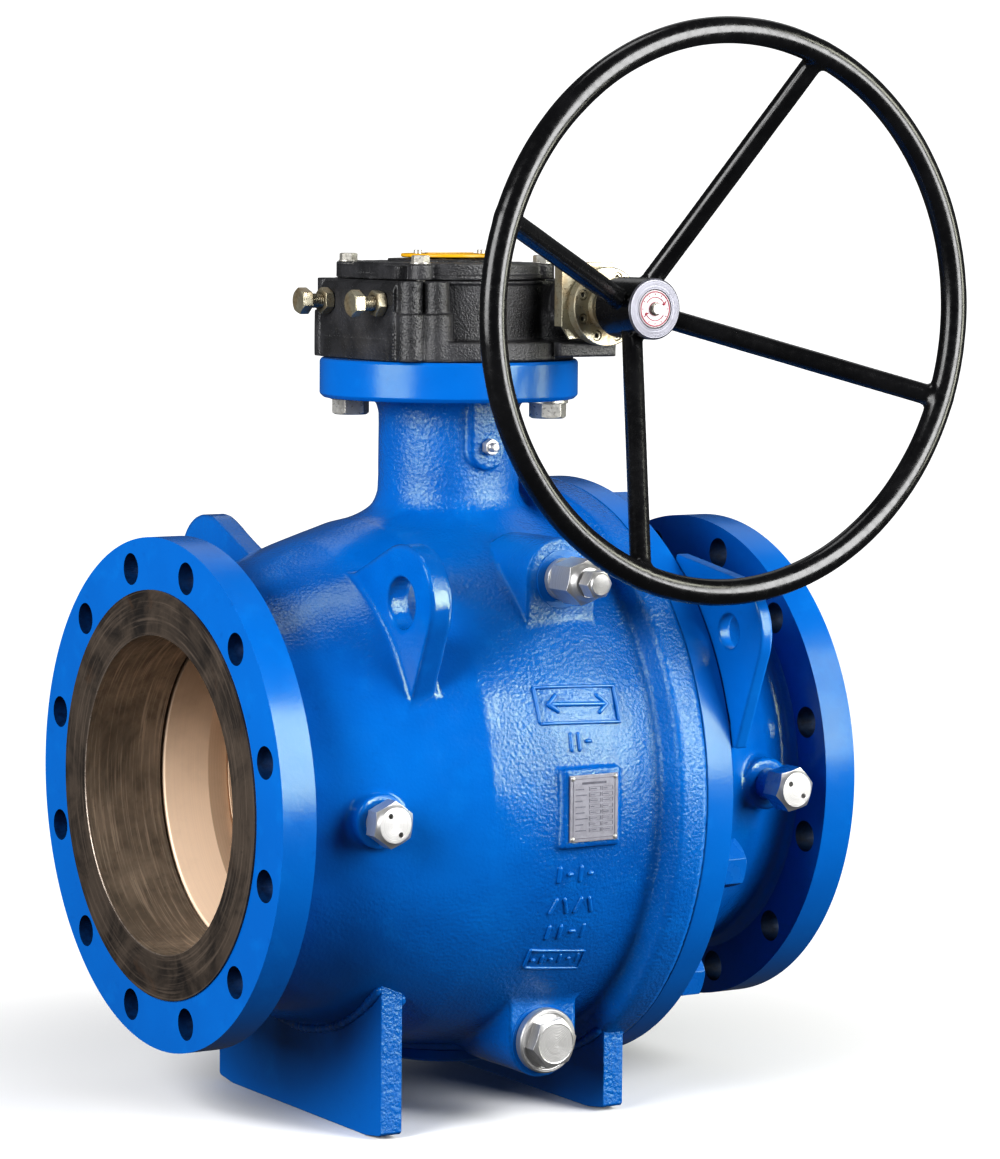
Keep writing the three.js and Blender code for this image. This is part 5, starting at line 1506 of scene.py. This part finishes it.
def input_cover():
    """Flange round the input shaft with its eight screws."""
    spots = [polar(INPUT_SCREW_R, 22.5 + 45 * i) for i in range(8)]
    spots = [(SHAFT_X + x, 0, SHAFT_Z + z) for x, z in spots]
    lathe("input_cover", [(-127, 10.5), (-127, 13.6), (-126.2, 14.5), (-121.2, 14.5),
                          (-120.6, 15.6), (-117.6, 15.6), (-117, 18), (-112.1, 18.6),
                          (-112.1, 31), (-111.3, 31.8), (-103.2, 31.8), (-102.6, 31.2),
                          (-102.6, 18.5), (-90, 18.5), (-90, 10.5)],
          "zinc", "y", SHAFT_AT, bevel=0.3, replaces="input_flange",
          cutters=[cylinder_cutter([(at, 4.3, -113, -107.6) for at in spots], "y", 28)])
    for i, at in enumerate(spots):
        cap_screw("input_screw_%d" % (i + 1), "y", at, -107.4, -111.3, radius=4.0, flats=3.6,
                  mat="zinc", count=24)


worm_thread()
input_cover()
prism("dust_plate", [(43, 368), (50, 358), (92, 358), (92, 419), (43, 419)], -102.3, -100.4,
      "y", "zinc", 0.4, replaces="input_dust_plate", holes=[(SHAFT_X, SHAFT_Z, 19.0)])
prism("dust_plate_top_lip", rectangle(43, 79.6, -101.4, -90), 417.1, 419, "z", "zinc", 0.4)
prism("dust_plate_side_lip", rectangle(-101.4, -91, 368, 418.4), 43, 44.9, "x", "zinc", 0.4)

# ---------------------------------------------------------------- handwheel
RIM_Y, RIM_R, RIM_TUBE_R = -284.0, 214.5, 10.2
SPOKE_ANGLES = (67.9, 160.6, 248.1, 341.1)


def shaft_point(radius, degrees, y):
    across, up = polar(radius, degrees)
    return np.array([SHAFT_X + across, y, SHAFT_Z + up])


SPOKES = [(shaft_point(16, a, -156), shaft_point(RIM_R, a, RIM_Y + 1)) for a in SPOKE_ANGLES]


def wheel_field(x, y, z):
    shaft_r = np.hypot(x - SHAFT_X, z - SHAFT_Z)
    field = np.hypot(shaft_r - RIM_R, y - RIM_Y) - RIM_TUBE_R
    for start, end in SPOKES:
        along = end - start
        length = np.linalg.norm(along)
        along = along / length
        dx, dy, dz = x - start[0], y - start[1], z - start[2]
        reach = np.clip(dx * along[0] + dy * along[1] + dz * along[2], 0, length)
        distance = np.sqrt((dx - reach * along[0]) ** 2 + (dy - reach * along[1]) ** 2
                           + (dz - reach * along[2]) ** 2)
        field = join(field, distance - 8.1, 4.5)
    # never solid itself, the hub only swells the spokes into a weld where they meet it
    hub = cylinder(x, z, y, (SHAFT_X, SHAFT_Z), 24.0, -176, -133, 1.5)
    field = join(field, np.maximum(hub, 0.0) + 0.4, 3.5)
    field = field + 0.10 * lumps(x, y, z, 600, 26)
    return np.maximum(field, 22.5 - shaft_r)


def hub_label_marks():
    """Rings, two curved arrows and twelve ticks on the label."""
    verts, faces = [], []

    def arc_band(inner_r, outer_r, start, end, count=64):
        angles = np.linspace(rad(start), rad(end), count)
        full = abs(end - start) >= 359.9
        if full:
            angles = angles[:-1]
        base = len(verts)
        for angle in angles:
            for radius, y in ((inner_r, -179.85), (inner_r, -180.12),
                              (outer_r, -180.12), (outer_r, -179.85)):
                verts.append((SHAFT_X + radius * math.cos(angle), y,
                              SHAFT_Z + radius * math.sin(angle)))
        faces.extend(sweep_faces(base, len(angles), 4, closed=full))

    arc_band(13.0, 13.9, 0, 360)
    arc_band(5.0, 5.6, 0, 360)
    arrow_in, arrow_out = 8.9, 9.5
    for start in (30, 210):
        arc_band(arrow_in, arrow_out, start, start + 118)
    for start in (30, 210):
        for k in range(5):
            # arrow head in narrowing steps
            flare = 1.7 - k * 0.34
            arc_band(arrow_in - flare, arrow_out + flare, start - k * 2.4,
                     start - (k * 2.4 + 2.4), 4)
    for degrees in range(0, 360, 30):
        arc_band(11.0, 12.2, degrees - 1.6, degrees + 1.6, 4)
    solid("hub_label_marks", verts, faces, ["red"], body="handwheel_shaft")


cast("wheel_rim_and_spokes", wheel_field, (-152, -300, 150), (312, -126, 618), 2.2, ["gloss"],
     "handwheel", "handwheel_shaft")
lathe("wheel_hub", [(-179.7, 15.3), (-179.7, 23.0), (-178.4, 24.3), (-131, 24.3),
                    (-130, 23.3), (-130, 10.3), (-176.9, 10.3), (-176.9, 15.3)],
      ["gloss", "hubface"], "y", SHAFT_AT, strips=[1, 1, 0, 0, 0, 0, 1, 1],
      body="handwheel_shaft", bevel=0.4)
lathe("hub_label", [(-179.9, 3.4), (-179.9, 14.4), (-179.3, 15), (-177.2, 15), (-177.2, 3.4)],
      "label", "y", SHAFT_AT, 72, body="handwheel_shaft", replaces="handwheel_cap", bevel=0.2)
hub_label_marks()
lathe("hub_screw", [(-163, 0), (-163, 3), (-180.2, 3), (-180.2, 5.2), (-181.0, 5.2),
                    (-181.1, 4.0), *hex_head(-181.1, -184, 8), (-184, 0)], "bright", "y",
      SHAFT_AT, HEX_COUNT, body="handwheel_shaft", replaces="handwheel_screw", bevel=0.15)

# CAD pieces kept as they are, hidden inside the gearbox
for node, mat in (("worm_wheel", "bronze"), ("worm_wheel_key", "steel")):
    kept = frame["nodes"][node].data.materials
    kept.clear()
    kept.append(FINISHES[mat][1])

# ---------------------------------------------------------------- studio, in metres
CAMERA_AZIMUTH = -31.96


def direction(azimuth, elevation):
    """Unit vector in degrees; azimuth 0 points to -y and grows towards +x."""
    azimuth, elevation = rad(azimuth), rad(elevation)
    return np.array([math.sin(azimuth) * math.cos(elevation),
                     -math.cos(azimuth) * math.cos(elevation), math.sin(elevation)])


def floor_material():
    """Pale floor that fades to plain white for the camera away from the valve."""
    mat = Finish("studio_floor")
    mat.paint(color=mat.blend((0.86, 0.865, 0.875), (0.90, 0.90, 0.905),
                              mat.noise(scale=1.2, detail=2, rough=0.4), between=(0.3, 0.7)),
              spec=0.2, rough=0.6)
    white = mat.node("ShaderNodeEmission", {0: (1, 1, 1), 1: 1.0})
    xyz = mat.split()
    squares = [mat.calc("POWER", mat.calc("SUBTRACT", xyz[0], float(ORIGIN_M[0])), 2.0),
               mat.calc("ADD", mat.calc("POWER", xyz[1], 2.0), mat.calc("POWER", xyz[2], 2.0))]
    distance = mat.calc("SQRT", mat.calc("ADD", *squares))
    is_camera = mat.node("ShaderNodeLightPath").outputs["Is Camera Ray"]
    fade = mat.calc("MULTIPLY", mat.ramp(distance, between=(0.30, 0.75)), is_camera)
    mixed = mat.node("ShaderNodeMixShader",
                     {0: fade, 1: mat.shader.outputs[0], 2: white.outputs[0]})
    mat.feed(mat.output.inputs[0], mixed.outputs[0])
    return mat.material


def floor_sweep():
    """Floor that curves up into a wall behind the valve, square to the camera."""
    material = floor_material()
    toward = direction(CAMERA_AZIMUTH, 0)
    right = np.cross([0, 0, 1.0], toward)
    # (distance towards the camera, height)
    curve = [(-1.5 - 1.4 * math.sin(t), 1.4 - 1.4 * math.cos(t))
             for t in np.linspace(0.08, math.pi / 2, 22)]
    profile = [(4.0, 0.0), (1.0, 0.0), (-1.5, 0.0), *curve, (-2.9, 4.5)]
    centre = np.array([ORIGIN_M[0], 0, 0])
    verts = [tuple(centre + toward * distance + right * side + np.array([0, 0, z - 0.0004]))
             for distance, z in profile for side in (-6.0, 6.0)]
    faces = [(2 * i, 2 * i + 1, 2 * i + 3, 2 * i + 2) for i in range(len(profile) - 1)]
    mesh = bpy.data.meshes.new("floor_sweep")
    mesh.from_pydata(verts, [], faces)
    mesh.materials.append(material)
    mesh.polygons.foreach_set("use_smooth", np.ones(len(mesh.polygons), bool))
    mesh.update()
    floor = bpy.data.objects.new("floor_sweep", mesh)
    scene.collection.objects.link(floor)
    floor.visible_glossy = False
    floor.visible_diffuse = False


def studio_world():
    """White to the camera, a faint cool grey to everything else."""
    world = bpy.data.worlds.new("studio")
    scene.world = world
    nodes = Nodes(world)

    def background(color, strength):
        return nodes.node("ShaderNodeBackground", {0: color, 1: strength}).outputs[0]

    seen = background((1, 1, 1), 1.0)
    diffuse = background((0.92, 0.95, 1), 0.10)
    glossy = background((0.92, 0.95, 1), 0.07)
    ray = nodes.node("ShaderNodeLightPath").outputs
    unseen = nodes.node("ShaderNodeMixShader", {0: ray["Is Glossy Ray"], 1: diffuse, 2: glossy})
    mixed = nodes.node("ShaderNodeMixShader",
                       {0: ray["Is Camera Ray"], 1: unseen.outputs[0], 2: seen})
    nodes.node("ShaderNodeOutputWorld", {0: mixed.outputs[0]})


def softbox(name, swing, elevation, distance, size, power, color=(1, 1, 1)):
    """Rectangular light aimed just above the ball; swing is degrees from the camera."""
    toward = direction(CAMERA_AZIMUTH + swing, elevation)
    light = bpy.data.lights.new(name, "AREA")
    light.shape = "RECTANGLE"
    light.size, light.size_y = size
    light.energy = power
    light.color = color
    lamp = bpy.data.objects.new(name, light)
    scene.collection.objects.link(lamp)
    lamp.location = Vector(ORIGIN_M + np.array((0, 0, 0.05)) + toward * distance)
    lamp.rotation_euler = Vector(-toward).to_track_quat("-Z", "Y").to_euler()
    lamp.visible_camera = False
    return lamp


def add_camera():
    back = direction(CAMERA_AZIMUTH, 5.36)
    right = np.cross([0, 0, 1.0], back)
    right /= np.linalg.norm(right)
    up = np.cross(back, right)
    cos, sin = math.cos(rad(0.45)), math.sin(rad(0.45))    # roll
    matrix = np.eye(4)
    matrix[:3, 0] = cos * right + sin * up
    matrix[:3, 1] = -sin * right + cos * up
    matrix[:3, 2] = back
    matrix[:3, 3] = (np.array([-1746.6, -2880.6, 475.4]) + ORIGIN) / 1000
    data = bpy.data.cameras.new("camera")
    camera = bpy.data.objects.new("camera", data)
    scene.collection.objects.link(camera)
    camera.matrix_world = Matrix(matrix.tolist())
    data.sensor_fit = "AUTO"
    data.sensor_width = 36.0
    data.lens = 128.66195
    data.clip_start = 0.05
    data.clip_end = 60
    scene.camera = camera


floor_sweep()
studio_world()
softbox("key_right", swing=58, elevation=19, distance=2.3, size=(1.05, 1.6), power=73)
softbox("key_left", swing=-48, elevation=18, distance=2.1, size=(1.25, 1.5), power=49)
fill = softbox("fill_left", swing=-34, elevation=24, distance=2.5, size=(1.0, 1.0), power=31)
fill.visible_glossy = False
softbox("top", swing=180, elevation=84, distance=2.2, size=(0.8, 0.6), power=4)
softbox("strip_right", swing=88, elevation=16, distance=2.3, size=(0.45, 1.7), power=25,
        color=(1.0, 1.0, 0.84))
softbox("rim_back", swing=172, elevation=40, distance=2.6, size=(1.6, 1.2), power=3)
add_camera()
scene.view_settings.view_transform = "Standard"
scene.view_settings.look = "Medium High Contrast"
scene.view_settings.exposure = 0.0
